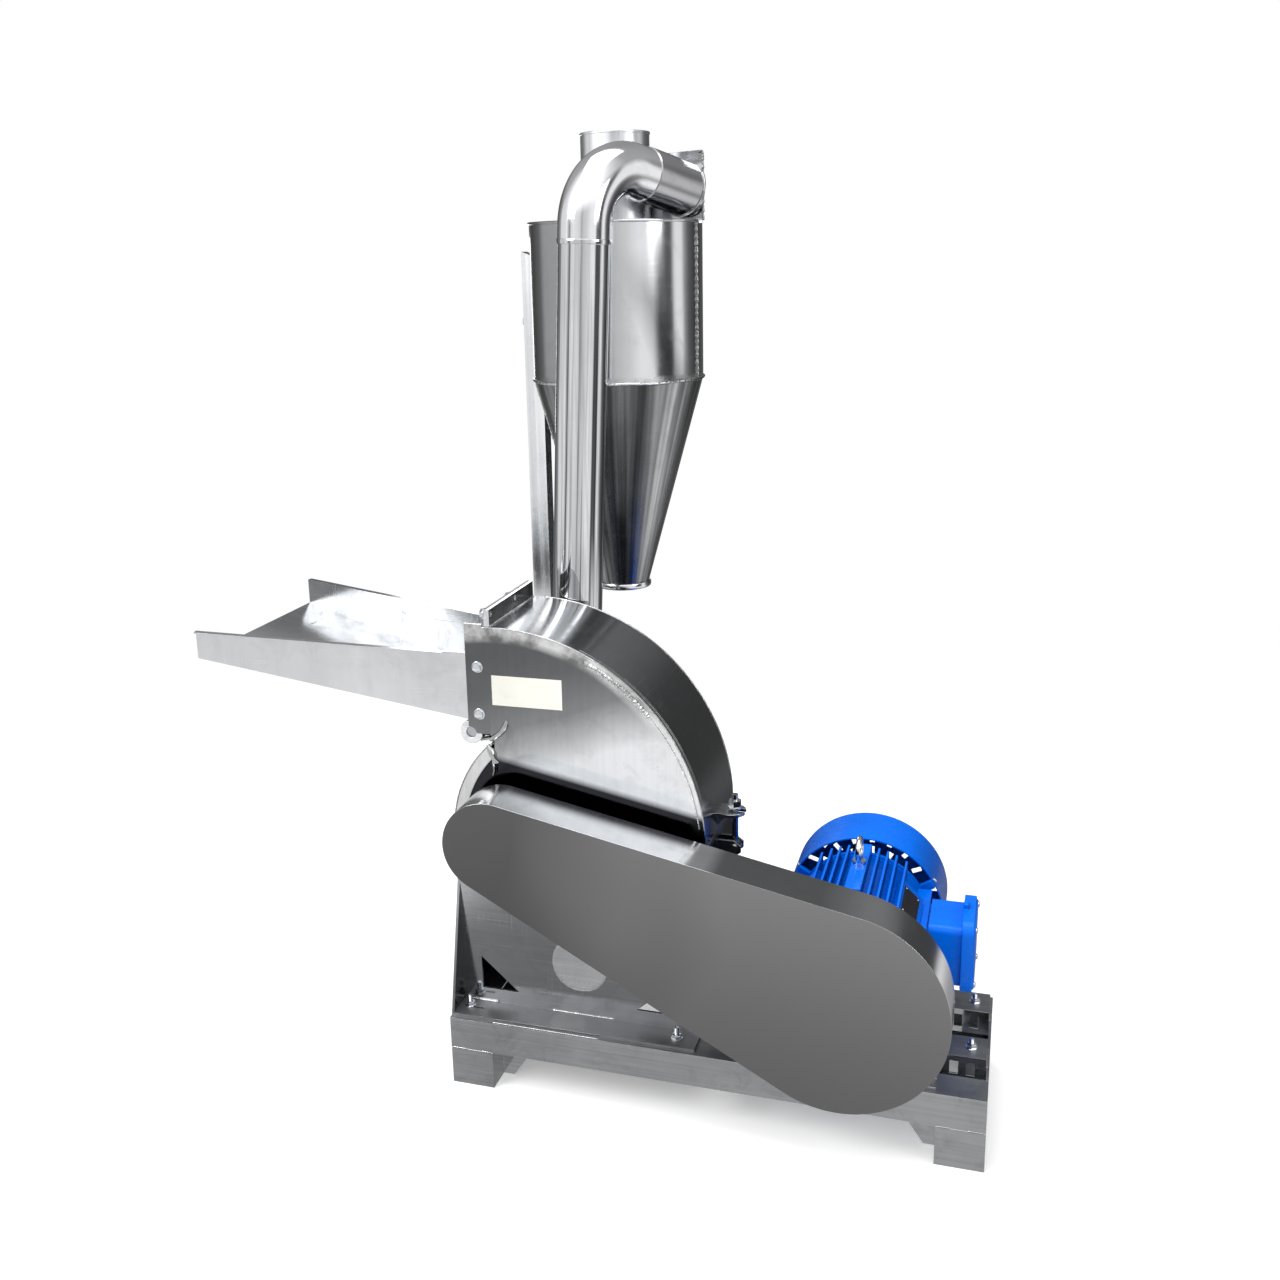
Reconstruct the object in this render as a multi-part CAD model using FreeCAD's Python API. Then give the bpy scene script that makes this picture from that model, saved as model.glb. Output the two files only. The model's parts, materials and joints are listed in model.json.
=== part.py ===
import FreeCAD, Part
import os, math
from FreeCAD import Vector as V

# Hammer crusher with fan, cyclone separator, belt drive and hinged cover.
# Millimetres, +Z up, X to the right, Y to the back. Shapes are drawn from the
# front left lower corner of the base frame and written about the centre of the
# whole machine's outline on the floor.

# ---------------------------------------------------------------- dimensions
frame_len, frame_dep = 800.0, 275.0      # base frame footprint
beam_bot, beam_top = 61.0, 112.0         # base beams, bottom and top
beam_fl = 50.0                           # width of a beam's flanges
t_f = 4.0                                # frame sheet
leg_w = 68.5
plate_t = 4.0                            # housing side plates
y_front, y_rear = 55.0, 249.0            # outer faces of the housing
rotor_x, rotor_z = 197.0, 375.0          # main shaft axis
shaft_r = 17.5
disc_r, pin_rad, pin_r = 112.0, 95.0, 8.0
ham_len, ham_w, ham_t = 55.0, 40.0, 8.0  # hammer: pin to tip, width, thickness
screen_ri, screen_ro = 156.0, 159.0
split_z = 411.0                          # joint between housing and cover
arc_cx, arc_cz = 197.0, 400.0            # centre of the housing's left arc
arc_r, band_w = 197.0, 18.5              # its radius and the band's width
cov_cx, cov_cz, cov_r = 78.0, 411.0, 316.0   # centre and radius of the cover's arc
hinge_x, hinge_z = 34.0, 561.0           # cover hinge axis
gap = 1.0                                # joint gap round the cover
motor_x, motor_z = 599.5, 239.0          # motor axis
motor_pulley_r, rotor_pulley_r = 112.0, 50.0
guard_c1, guard_r1 = (94.9, 424.5), 70.1
guard_c2, guard_r2 = (599.5, 238.5), 150.8
guard_y0, guard_y1 = -45.3, 30.0
duct_r, duct_y = 40.0, 293.0
duct_lean = 0.0488                       # sideways lean of the duct per mm of height
duct_x0, duct_z0 = 121.6, 560.0
elbow_R, elbow_r, elbow_leg = 85.0, 41.0, 24.0
pipe_r = 42.5
pipe_az, pipe_dip = 27.0, 12.0           # degrees, direction of the inlet pipe
cyc_x, cyc_y, cyc_r = 149.0, 484.0, 142.0
cyc_z0, cone_z0, spout_r = 1052.0, 700.0, 45.0
stub_x, stub_y, stub_r, stub_top = 149.7, 487.7, 56.0, 1443.0
clasp_x, clasp_z, clasp_y = 417.0, 379.0, 152.0
fit = 0.05                               # radial clearance of running fits

OFF = V(-212.306, -290.35, 0)             # to the centre of the whole outline on the floor
os.makedirs("parts", exist_ok=True)
nodes = {}


# ---------------------------------------------------------------- helpers
def box(x0, y0, z0, x1, y1, z1):
    return Part.makeBox(x1 - x0, y1 - y0, z1 - z0, V(x0, y0, z0))


def cyl(p, d, r, h):
    return Part.makeCylinder(r, h, V(*p), V(*d))


def ycyl(x, z, r, y0, y1):
    return cyl((x, y0, z), (0, 1, 0), r, y1 - y0)


def zcyl(x, y, r, z0, z1):
    return cyl((x, y, z0), (0, 0, 1), r, z1 - z0)


def xcyl(y, z, r, x0, x1):
    return cyl((x0, y, z), (1, 0, 0), r, x1 - x0)


def prism(m, vec, start, segs):
    # closed outline of lines (a, b) and arcs (mid a, mid b, end a, end b)
    es, p = [], start
    for s in segs:
        if len(s) == 2:
            es.append(Part.makeLine(m(*p), m(*s)))
            p = s
        else:
            es.append(Part.Arc(m(*p), m(s[0], s[1]), m(s[2], s[3])).toShape())
            p = (s[2], s[3])
    if m(*p).distanceToPoint(m(*start)) > 1e-6:
        es.append(Part.makeLine(m(*p), m(*start)))
    return Part.Face(Part.Wire(es)).extrude(vec)


def py(start, segs, y0, y1):
    return prism(lambda a, b: V(a, y0, b), V(0, y1 - y0, 0), start, segs)


def px(start, segs, x0, x1):
    return prism(lambda a, b: V(x0, a, b), V(x1 - x0, 0, 0), start, segs)


def pz(start, segs, z0, z1):
    return prism(lambda a, b: V(a, b, z0), V(0, 0, z1 - z0), start, segs)


def poly3(pts, vec):
    return Part.Face(Part.makePolygon([V(*p) for p in pts] + [V(*pts[0])])).extrude(V(*vec))


def at(cx, cz, r, a):
    return (cx + r * math.cos(math.radians(a)), cz + r * math.sin(math.radians(a)))


def arc(cx, cz, r, a0, a1):
    return at(cx, cz, r, (a0 + a1) / 2) + at(cx, cz, r, a1)


def fuse(*s):
    r = s[0]
    if len(s) > 1:
        r = s[0].multiFuse(list(s[1:]))
    return r.removeSplitter()


def cut(s, *t):
    return s.cut(list(t)) if len(t) > 1 else s.cut(t[0])


def solids(shape):
    return shape.Solids if hasattr(shape, "Solids") else [shape]


def node(name, *shapes):
    ss = []
    for s in shapes:
        ss += solids(s)
    c = ss[0] if len(ss) == 1 else Part.makeCompound(ss)
    nodes[name] = c


def hexp(p, d, af, h):
    # hexagonal prism from p along the unit direction d
    d = V(*d)
    u = V(1, 0, 0) if abs(d.x) < 0.9 else V(0, 1, 0)
    u = (u - d * u.dot(d)).normalize()
    w = d.cross(u)
    R = af / math.sqrt(3)
    pts = [V(*p) + u * (R * math.cos(math.radians(60 * i + 30))) + w * (R * math.sin(math.radians(60 * i + 30)))
           for i in range(6)]
    return Part.Face(Part.makePolygon(pts + [pts[0]])).extrude(d * h)


def bolt(p, d, r, af, hh, grip, nut_h=0.0, tail=0.0):
    # head outside at p, shank along d through the grip, then nut and tail
    dv = V(*d)
    b = [hexp(V(*p) - dv * hh, d, af, hh), cyl(p, d, r, grip + nut_h + tail)]
    if nut_h:
        b.append(hexp(V(*p) + dv * grip, d, af, nut_h))
    return fuse(*b)


def taper(c1, r1, c2, r2, y0, y1):
    # two circles and their outer tangents, as a solid along Y
    dx, dz = c2[0] - c1[0], c2[1] - c1[1]
    L = math.hypot(dx, dz)
    ux, uz = dx / L, dz / L
    s = (r1 - r2) / L
    c = math.sqrt(1 - s * s)
    up = (s * ux - c * uz, s * uz + c * ux)
    dn = (s * ux + c * uz, s * uz - c * ux)
    a = (c1[0] + r1 * up[0], c1[1] + r1 * up[1])
    b = (c2[0] + r2 * up[0], c2[1] + r2 * up[1])
    e = (c2[0] + r2 * dn[0], c2[1] + r2 * dn[1])
    g = (c1[0] + r1 * dn[0], c1[1] + r1 * dn[1])
    return py(a, [b, (c2[0] + r2 * ux, c2[1] + r2 * uz) + e, g, (c1[0] - r1 * ux, c1[1] - r1 * uz) + a], y0, y1)


# ---------------------------------------------------------------- base frame
L, D, F = frame_len, frame_dep, beam_fl
zb, zt = beam_bot, beam_top
node("frame_front_beam", cut(fuse(
    box(0, 0, zb, L, t_f, zt), box(0, t_f, zt - t_f, L, F, zt), box(0, t_f, zb, L, F, zb + t_f),
    box(0, t_f, zb + t_f, t_f, F, zt - t_f), box(L - t_f, t_f, zb + t_f, L, F, zt - t_f)),
    zcyl(20, 36, 4.6, zt - 10, zt + 10), zcyl(354, 31, 4.6, zt - 10, zt + 10)))
node("frame_rear_beam", cut(fuse(
    box(0, D - t_f, zb, L, D, zt), box(0, D - F, zt - t_f, L, D - t_f, zt), box(0, D - F, zb, L, D - t_f, zb + t_f),
    box(0, D - F, zb + t_f, t_f, D - t_f, zt - t_f), box(L - t_f, D - F, zb + t_f, L, D - t_f, zt - t_f)),
    zcyl(20, 259, 4.6, zt - 10, zt + 10), zcyl(374, 259, 4.6, zt - 10, zt + 10)))
left_cross = fuse(box(0, F, zb, t_f, D - F, zt), box(t_f, F, zt - t_f, 46, D - F, zt), box(t_f, F, zb, 46, D - F, zb + t_f))
right_cross = fuse(box(L - t_f, F, zb, L, D - F, zt), box(L - 44, F, zb, L - t_f, D - F, zb + t_f))
mid_cross = cut(box(440, t_f, zb + t_f, 480, D - t_f, 89), box(443, t_f, zb + t_f + 3, 477, D - t_f, 86))
node("frame_cross_members", left_cross, right_cross, mid_cross)


def leg(mx, my):
    X = (lambda x: x) if not mx else (lambda x: L - x)
    Y = (lambda y: y) if not my else (lambda y: D - y)

    def bx(x0, y0, z0, x1, y1, z1):
        xs, ys = sorted((X(x0), X(x1))), sorted((Y(y0), Y(y1)))
        return box(xs[0], ys[0], z0, xs[1], ys[1], z1)
    g = prism(lambda a, b: V(X(a), min(Y(42), Y(46)), b), V(0, 4, 0), (30, 0), [(86, 0), (128, zb), (30, zb)])
    return fuse(bx(0, 0, 0, leg_w, t_f, zb), bx(leg_w - t_f, t_f, 0, leg_w, 42, zb), g)


node("frame_legs", *[leg(a, b) for a in (0, 1) for b in (0, 1)])

rail_top = 127.0


def rail(y0, y1, bolt_y, foot_y):
    r = fuse(box(440, y0, rail_top - 3, L - t_f, y1, rail_top), box(440, y0, 89, L - t_f, y0 + 3, rail_top - 3),
             box(440, y1 - 3, 89, L - t_f, y1, rail_top - 3))
    holes = [box(x - 6, y0 - 1, 98, x + 6, y0 + 4, 118) for x in (751, 774)]
    holes += [zcyl(774, bolt_y, 4.6, 100, 140)] + [zcyl(motor_x + s * 95, foot_y, 5.6, 100, 140) for s in (-1, 1)]
    return cut(r, box(430, D - F, 80, L, D, zt), *holes)


node("motor_rails", rail(77, 131, 104, 100), rail(203, 257, 230, 240))

# ---------------------------------------------------------------- lower housing
yf0, yf1 = y_front, y_front + plate_t
yr0, yr1 = y_rear - plate_t, y_rear
a_in = math.degrees(math.asin((split_z - arc_cz) / (arc_r - band_w)))
tip_out, tip_in = 131.0, 136.0
low_outline = [(0, arc_cz), arc(arc_cx, arc_cz, arc_r, 180, tip_out), at(arc_cx, arc_cz, arc_r - band_w, tip_in),
               arc(arc_cx, arc_cz, arc_r - band_w, tip_in, 180 - a_in), (394, split_z), (394, zt)]
shaft_hole = ycyl(rotor_x, rotor_z, 22, 0, 300)
tri = [py((34, 137.5), [(95.2, 137.5), (34, 192)], 50, 62), py((286, 137.5), [(347, 137.5), (347, 192)], 50, 62)]
front = fuse(py((0, zt), low_outline, yf0, yf1), box(0, 8, zt, 386, yf0, zt + 4),
             px((55, 317), [(55, zt + 4), (8, zt + 4)], 0, 4))
node("housing_front_plate", cut(front, shaft_hole, zcyl(20, 36, 4.6, 100, 130), zcyl(354, 31, 4.6, 100, 130),
                                box(24, 30, 100, 44, 33, 130), ycyl(rotor_x - 65, rotor_z, 5.2, 50, 62),
                                ycyl(rotor_x + 65, rotor_z, 5.2, 50, 62), ycyl(360, 240, 4.2, 50, 62), *tri))
rear = fuse(py((0, zt), low_outline, yr0, yr1), box(8, yr1, zt, 386, 267, zt + 4))
node("housing_rear_plate", cut(rear, ycyl(rotor_x, rotor_z, 34, 240, 255), zcyl(20, 259, 4.6, 100, 130),
                               zcyl(374, 259, 4.6, 100, 130)))
wall_l = py((0, zt), [(0, arc_cz), arc(arc_cx, arc_cz, arc_r, 180, tip_out), at(arc_cx, arc_cz, arc_r - 4, tip_out),
                      arc(arc_cx, arc_cz, arc_r - 4, tip_out, 180), (4, zt)], yf1, yr0)
wall_r = fuse(box(390, yf1, zt, 394, yr0, split_z),
              *[cut(py((394, clasp_z - 13), [(clasp_x, clasp_z - 13), (clasp_x + 11, clasp_z - 5), (clasp_x + 11, clasp_z + 5),
                                             (clasp_x, clasp_z + 13), (394, clasp_z + 13)], y0, y0 + 4),
                    ycyl(clasp_x, clasp_z, 5.0, y0 - 1, y0 + 5)) for y0 in (clasp_y - 12, clasp_y + 8)])
node("housing_side_walls", wall_l, wall_r)
node("clasp_pin", fuse(ycyl(clasp_x, clasp_z, 5, clasp_y - 15, clasp_y + 15), ycyl(clasp_x, clasp_z, 7, clasp_y - 15, clasp_y - 12),
                       ycyl(clasp_x, clasp_z, 7, clasp_y + 12, clasp_y + 15)))
trough = py((rotor_x - 174, 405), [(rotor_x - 174, rotor_z), arc(rotor_x, rotor_z, 174, 180, 360), (rotor_x + 174, 405), (390, 405),
                                   (390, 407), (rotor_x + 172, 407), (rotor_x + 172, rotor_z), arc(rotor_x, rotor_z, 172, 360, 180),
                                   (rotor_x - 172, 407), (4.4, 407), (4.4, 405)], yf1, yr0)
node("chamber_trough", trough)
part_out = [(rotor_x - 159, rotor_z), arc(rotor_x, rotor_z, 159, 180, 360), (rotor_x + 159, 405), (rotor_x - 159, 405)]
node("plenum_partition", cut(fuse(py((rotor_x - 159, 405), part_out, 211, 214),
                                  box(rotor_x - 171.5, 211, 405, rotor_x + 171.5, yr0, 409)), shaft_hole))
scr = py((rotor_x - screen_ro, 404), [(rotor_x - screen_ro, rotor_z), arc(rotor_x, rotor_z, screen_ro, 180, 360), (rotor_x + screen_ro, 404),
                                      (rotor_x + screen_ri, 404), (rotor_x + screen_ri, rotor_z), arc(rotor_x, rotor_z, screen_ri, 360, 180),
                                      (rotor_x - screen_ri, 404)], yf1, 211)
slots = []
for k in range(13):
    a = 198 + k * 12
    c = at(rotor_x, rotor_z, 157.5, a)
    d = V(math.cos(math.radians(a)), 0, math.sin(math.radians(a)))
    for y0 in (72, 118, 164):
        w = Part.makeBox(10, 34, 4, V(-5, 0, -2))
        w.Placement = FreeCAD.Placement(V(c[0], y0, c[1]), FreeCAD.Rotation(V(1, 0, 0), d))
        slots.append(w)
node("sizing_screen", cut(scr, *slots))
node("blank_disc", ycyl(197, 202, 45, yf0 - 2.5, yf0))

# fixed hinge barrel with its bracket, and the hinge pin
hb = fuse(ycyl(hinge_x, hinge_z, 15, 73, 231), py((hinge_x - 2, hinge_z - 14), [(hinge_x + 4, hinge_z - 8), (66, 549.6), (66, 543), (40, 541)], 78, 226))
node("hinge_barrel", cut(hb, ycyl(hinge_x, hinge_z, pin_r, 60, 240), ycyl(arc_cx, arc_cz, arc_r, 60, 245)))
node("hinge_pin", ycyl(hinge_x, hinge_z, pin_r, 62, 242))

# ---------------------------------------------------------------- cover
e_in = arc_r - band_w - gap
a_g = math.degrees(math.asin((split_z + gap - arc_cz) / e_in))
p_in = at(arc_cx, arc_cz, e_in, tip_in - 0.5)
x_end = cov_cx + math.sqrt(cov_r ** 2 - (split_z + gap - cov_cz) ** 2)
a_top = math.degrees(math.acos((60 - cov_cx) / cov_r))
a_end = math.degrees(math.asin((split_z + gap - cov_cz) / cov_r))
cov_outline = [(32, 731.5), (60, 731.5), at(cov_cx, cov_cz, cov_r, a_top), arc(cov_cx, cov_cz, cov_r, a_top, a_end),
               at(arc_cx, arc_cz, e_in, 180 - a_g), arc(arc_cx, arc_cz, e_in, 180 - a_g, tip_in - 0.5),
               (p_in[0] + 1.0, p_in[1] + 4), (72.5, 552), (66, hinge_z + 0.5), (32, hinge_z + 0.5)]
bolt_pts = [(50.9, 665.7), (50.9, 592.7)]
hinge_hole = ycyl(hinge_x, hinge_z, pin_r + 2.5, 50, 250)
cov_holes = [ycyl(a, b, 4.3, 40, 260) for a, b in bolt_pts]
node("cover_front_plate", cut(py((32, hinge_z + 0.5), cov_outline, yf0, yf1), hinge_hole, *cov_holes))
node("cover_rear_plate", cut(py((32, hinge_z + 0.5), cov_outline, yr0, yr1), hinge_hole, *cov_holes))
node("hinge_rings", *[cut(ycyl(hinge_x, hinge_z, 18, a, b), ycyl(hinge_x, hinge_z, pin_r + fit, 50, 250))
                      for a, b in ((yf1, 72), (232, yr0))])

# curved strip, its lug for the clasp and the standing flange at the mouth
a_m = math.degrees(math.acos((71 - cov_cx) / cov_r))
strip = py(at(cov_cx, cov_cz, cov_r - 2, a_m), [at(cov_cx, cov_cz, cov_r, a_m), arc(cov_cx, cov_cz, cov_r, a_m, a_end),
                                                at(cov_cx, cov_cz, cov_r - 2, a_end), arc(cov_cx, cov_cz, cov_r - 2, a_end, a_m)], yf1, yr0)
lug = fuse(zcyl(411, clasp_y, 23, 433, 438), box(392, clasp_y - 20, 433, 411, clasp_y + 20, 438),
           py((391, 414), [(391, 433), (408, 433)], clasp_y - 16, clasp_y - 12), py((391, 414), [(391, 433), (408, 433)], clasp_y + 12, clasp_y + 16))
lug = cut(lug, box(clasp_x - 5.6, clasp_y - 5.6, 430, 440, clasp_y + 5.6, 441), ycyl(cov_cx, cov_cz, cov_r, 50, 250))
node("cover_strip", fuse(strip, lug))
flange_bolts = [(66, 745), (166, 745)]
node("mouth_flange", cut(box(67, yf1, 722, 71, yr0, 753), *[xcyl(a, b, 4.3, 50, 90) for a, b in flange_bolts],
                         cut(ycyl(cov_cx, cov_cz, cov_r, 50, 250), box(67, 50, 700, 67.01, 51, 701))))
node("feed_baffle", cut(box(62, yf1 + 0.5, 640, 67, yr0 - 0.5, 753), *[xcyl(a, b, 4.3, 50, 90) for a, b in flange_bolts]))
node("blank_label_plate", box(72.5, yf0 - 0.8, 608.6, 182, yf0, 654.6))

# feed chute: floor, two flared walls with turned lips, straight part between the plates
sl = 91.0 / 402.0


def zf(x):
    return 673.0 - sl * (x + 375.0)


def ztop(x):
    return 716.0 - 29.0 * (x + 375.0) / 377.0


xo, xi, xe = -375.0, 24.0, 61.5
yo0, yo1, yi0, yi1 = -20.0, 320.0, yf1, yr0
def side(ya, yb, sgn):
    # outer and inner line of one wall in plan, and its lip
    d = V(xi - xo, yb - ya, 0).normalize()
    n = V(-d.y, d.x, 0) * sgn
    t = 2.0
    xm = xo + ((yb + t * sgn) - (ya + n.y * t)) / d.y * d.x + n.x * t
    inner = [(xo - 1 + n.x * t, ya + n.y * t - d.y / d.x), (xm, yb + t * sgn), (xe + 1, yb + t * sgn)]
    xl = 2.0
    q0, q1 = V(xo, ya, 0), V(xl, ya + (yb - ya) * (xl - xo) / (xi - xo), 0)
    lip = [q0 + n, q1 + n, q1 - n * 8 - d * 8, q0 - n * 8]
    return inner, [(q.x, q.y) for q in lip]


in0, lip0 = side(yo0, yi0, 1)
in1, lip1 = side(yo1, yi1, -1)
tray = pz((xo, yo0), [(xi, yi0), (xe, yi0), (xe, yi1), (xi, yi1), (xo, yo1)], 500, 800)
hollow = pz(in0[0], [in0[1], in0[2], in1[2], in1[1], in1[0]], 500, 800)
keep = py((xo, zf(xo)), [(xe, zf(xe)), (xe, ztop(xe)), (xo, ztop(xo))], -60, 360)
over = py((xo - 5, zf(xo - 5) + 2), [(xe + 5, zf(xe + 5) + 2), (xe + 5, 800), (xo - 5, 800)], -60, 360)
lip_slab = py((xo - 5, ztop(xo - 5) - 2), [(xe, ztop(xe) - 2), (xe, ztop(xe)), (xo - 5, ztop(xo - 5))], -60, 360)
lips = [pz(q[0], q[1:], 500, 800).common(lip_slab) for q in (lip0, lip1)]
chute = fuse(cut(tray.common(keep), hollow.common(over)), *lips)
node("feed_chute", cut(chute, *cov_holes))
cb = []
for a, b in bolt_pts:
    cb.append(bolt((a, yf0, b), (0, 1, 0), 4, 13, 5.5, 6, 6.5, 3))
    cb.append(bolt((a, yr1, b), (0, -1, 0), 4, 13, 5.5, 6, 6.5, 3))
for a, b in flange_bolts:
    cb.append(bolt((71, a, b), (-1, 0, 0), 4, 13, 5.5, 9, 6.5, 4))
node("cover_bolts", *cb)

# ---------------------------------------------------------------- clasp
eb = fuse(ycyl(clasp_x, clasp_z, 10, clasp_y - 5, clasp_y + 5), zcyl(clasp_x, clasp_y, 5, clasp_z, 463))
node("eye_bolt", cut(eb, ycyl(clasp_x, clasp_z, 5 + fit, clasp_y - 8, clasp_y + 8)))
node("clasp_nut", cut(fuse(zcyl(clasp_x, clasp_y, 10.5, 441.4, 443.6), hexp((clasp_x, clasp_y, 443.6), (0, 0, 1), 17, 10)),
                      zcyl(clasp_x, clasp_y, 5 + fit, 430, 460)))

# ---------------------------------------------------------------- rotor
shaft = fuse(ycyl(rotor_x, rotor_z, shaft_r, -26, 363), ycyl(rotor_x, rotor_z, 14, -30, -26))
node("main_shaft", shaft)
disc_y = [66, 112, 154, 200]
discs = []
pins = [45, 135, 225, 315]
for y in disc_y:
    d = cut(ycyl(rotor_x, rotor_z, disc_r, y, y + 6), ycyl(rotor_x, rotor_z, shaft_r + 0.02, 50, 220),
            *[ycyl(*at(rotor_x, rotor_z, pin_rad, a), pin_r + 0.02, 50, 220) for a in pins])
    discs.append(d)
for y0, y1 in ((72, 112), (118, 154), (160, 200)):
    discs.append(cut(ycyl(rotor_x, rotor_z, 26, y0, y1), ycyl(rotor_x, rotor_z, shaft_r + 0.02, 50, 220)))
node("rotor_discs", *discs)
node("hammer_pins", *[ycyl(*at(rotor_x, rotor_z, pin_rad, a), pin_r, 63, 209) for a in pins])
ham_y = [[80, 100], [124, 142], [168, 188]]
for i, a in enumerate(pins):
    cx, cz = at(rotor_x, rotor_z, pin_rad, a)
    hs = []
    for k in range(3):
        for yy in ham_y[k]:
            h = fuse(box(cx - ham_w / 2, yy - ham_t / 2, cz - ham_len, cx + ham_w / 2, yy + ham_t / 2, cz),
                     ycyl(cx, cz, ham_w / 2, yy - ham_t / 2, yy + ham_t / 2))
            hs.append(cut(h, ycyl(cx, cz, pin_r + 0.08, 50, 220)))
    node("hammers_row_%d" % (i + 1), *hs)


def pulley(cx, cz, R, bore, spokes):
    p = ycyl(cx, cz, R, -24, 14)
    g = [cut(ycyl(cx, cz, R + 5, y0, y0 + 14), ycyl(cx, cz, R - 9, y0, y0 + 14)) for y0 in (-19, -3)]
    h = [ycyl(cx, cz, bore + 0.02, -30, 30)]
    if spokes:
        h += [cut(ycyl(cx, cz, R - 18, -24, -10), ycyl(cx, cz, 32, -24, -10)), cut(ycyl(cx, cz, R - 18, 0, 14), ycyl(cx, cz, 32, 0, 14))]
    return cut(p, *(g + h))


node("rotor_pulley", pulley(rotor_x, rotor_z, rotor_pulley_r, shaft_r, False))
imp = [cut(ycyl(rotor_x, rotor_z, 100, 319, 322), ycyl(rotor_x, rotor_z, shaft_r + 0.02, 310, 330)),
       cut(ycyl(rotor_x, rotor_z, 27, 296, 319), ycyl(rotor_x, rotor_z, shaft_r + 0.02, 290, 330))]
hubc = ycyl(rotor_x, rotor_z, 26.5, 250, 330)
for k in range(8):
    b = cut(box(rotor_x, 268, rotor_z - 1.5, rotor_x + 99, 319, rotor_z + 1.5), hubc, ycyl(rotor_x, rotor_z, 38, 260, 296))
    b = max(b.Solids, key=lambda s: s.Volume)
    b.rotate(V(rotor_x, 0, rotor_z), V(0, 1, 0), 45 * k + 8)
    imp.append(b)
node("fan_impeller", fuse(*imp))

# ---------------------------------------------------------------- bearings


def bearing(y0, y1, flange_y0, flange_y1, side):
    c = (rotor_x, rotor_z)
    fl = py((c[0] - 66, c[1] + 14), [(c[0] - 12, c[1] + 34), (c[0], c[1] + 35.6, c[0] + 12, c[1] + 34), (c[0] + 66, c[1] + 14),
                                     (c[0] + 80, c[1], c[0] + 66, c[1] - 14), (c[0] + 12, c[1] - 34), (c[0], c[1] - 35.6, c[0] - 12, c[1] - 34),
                                     (c[0] - 66, c[1] - 14), (c[0] - 80, c[1], c[0] - 66, c[1] + 14)], flange_y0, flange_y1)
    b = fuse(fl, ycyl(c[0], c[1], 31, y0, y1))
    return cut(b, ycyl(c[0], c[1], shaft_r + fit, y0 - 5, y1 + 5), ycyl(c[0] - 65, c[1], 5.2, y0 - 5, y1 + 5), ycyl(c[0] + 65, c[1], 5.2, y0 - 5, y1 + 5))


node("shaft_bearings", bearing(22, yf0, 43, yf0, 0), bearing(333, 361, 333, 345, 1))

# ---------------------------------------------------------------- fan casing and duct
fy0, fy1 = 253.0, 333.0
bx0, bx1 = duct_x0 - 42, duct_x0 + 42
outer = fuse(ycyl(rotor_x, rotor_z, 118, fy0, fy1), box(bx0, fy0, rotor_z, bx1, fy1, duct_z0))
inner = fuse(ycyl(rotor_x, rotor_z, 115, fy0 + 3, fy1 - 3), box(bx0 + 3, fy0 + 3, rotor_z, bx1 - 3, fy1 - 3, duct_z0 - 3))
cas = cut(outer, inner, ycyl(rotor_x, rotor_z, 34, fy0 - 1, fy0 + 4), ycyl(rotor_x, rotor_z, 19, fy1 - 4, fy1 + 1),
          zcyl(duct_x0 - 0.2, duct_y, duct_r - 2, duct_z0 - 4, duct_z0 + 1),
          ycyl(rotor_x - 65, rotor_z, 5.2, fy1 - 4, fy1 + 1), ycyl(rotor_x + 65, rotor_z, 5.2, fy1 - 4, fy1 + 1))
ring = cut(ycyl(rotor_x, rotor_z, 48, yr1, fy0), ycyl(rotor_x, rotor_z, 34, yr1 - 1, fy0 + 1),
           box(0, yr1 - 1, split_z - 0.5, 400, fy0 + 1, 500))
pads = [box(100, yr1, 280, 130, fy0, 300), box(264, yr1, 280, 294, fy0, 300)]
node("fan_casing", cas, ring, *pads)

az, dip = math.radians(pipe_az), math.radians(pipe_dip)
d0 = V(duct_lean, 0, 1).normalize()
t1 = V(math.sin(az) * math.cos(dip), math.cos(az) * math.cos(dip), -math.sin(dip))
phi = math.degrees(math.acos(d0.dot(t1)))
E = V(219, 403.4, 1372)
elbow_t = elbow_R * math.tan(math.radians(phi / 2)) + elbow_leg
S = E - (d0 + t1) * elbow_t
S = V(S.x, duct_y, S.z)
E = S + (d0 + t1) * elbow_t
base = V(S.x, S.y, S.z) - d0 * ((S.z - duct_z0) / d0.z)
ext0 = base - d0 * 20
dl = (S - ext0).Length
duct = cut(cyl(tuple(ext0), tuple(d0), duct_r, dl), cyl(tuple(ext0), tuple(d0), duct_r - 2, dl),
           box(0, 200, duct_z0 - 60, 300, 400, duct_z0))
node("duct_pipe", duct)
nrm = d0.cross(t1).normalize()
toward = nrm.cross(d0).normalize()
S1, E1 = S + d0 * elbow_leg, E - t1 * elbow_leg
Ce = S1 + toward * elbow_R
ring_f = Part.Face(Part.Wire(Part.makeCircle(elbow_r, S1, d0))).cut(Part.Face(Part.Wire(Part.makeCircle(elbow_r - 2, S1, d0)))).Faces[0]
elb = ring_f.revolve(Ce, nrm, phi)
elb = elb if elb.ShapeType == "Solid" else Part.Solid(elb.Shells[0])
legs = [cut(cyl(tuple(a), tuple(d), elbow_r, elbow_leg), cyl(tuple(a), tuple(d), elbow_r - 2, elbow_leg)) for a, d in ((S, d0), (E1, t1))]
node("duct_elbow", fuse(elb, *legs))

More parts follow.
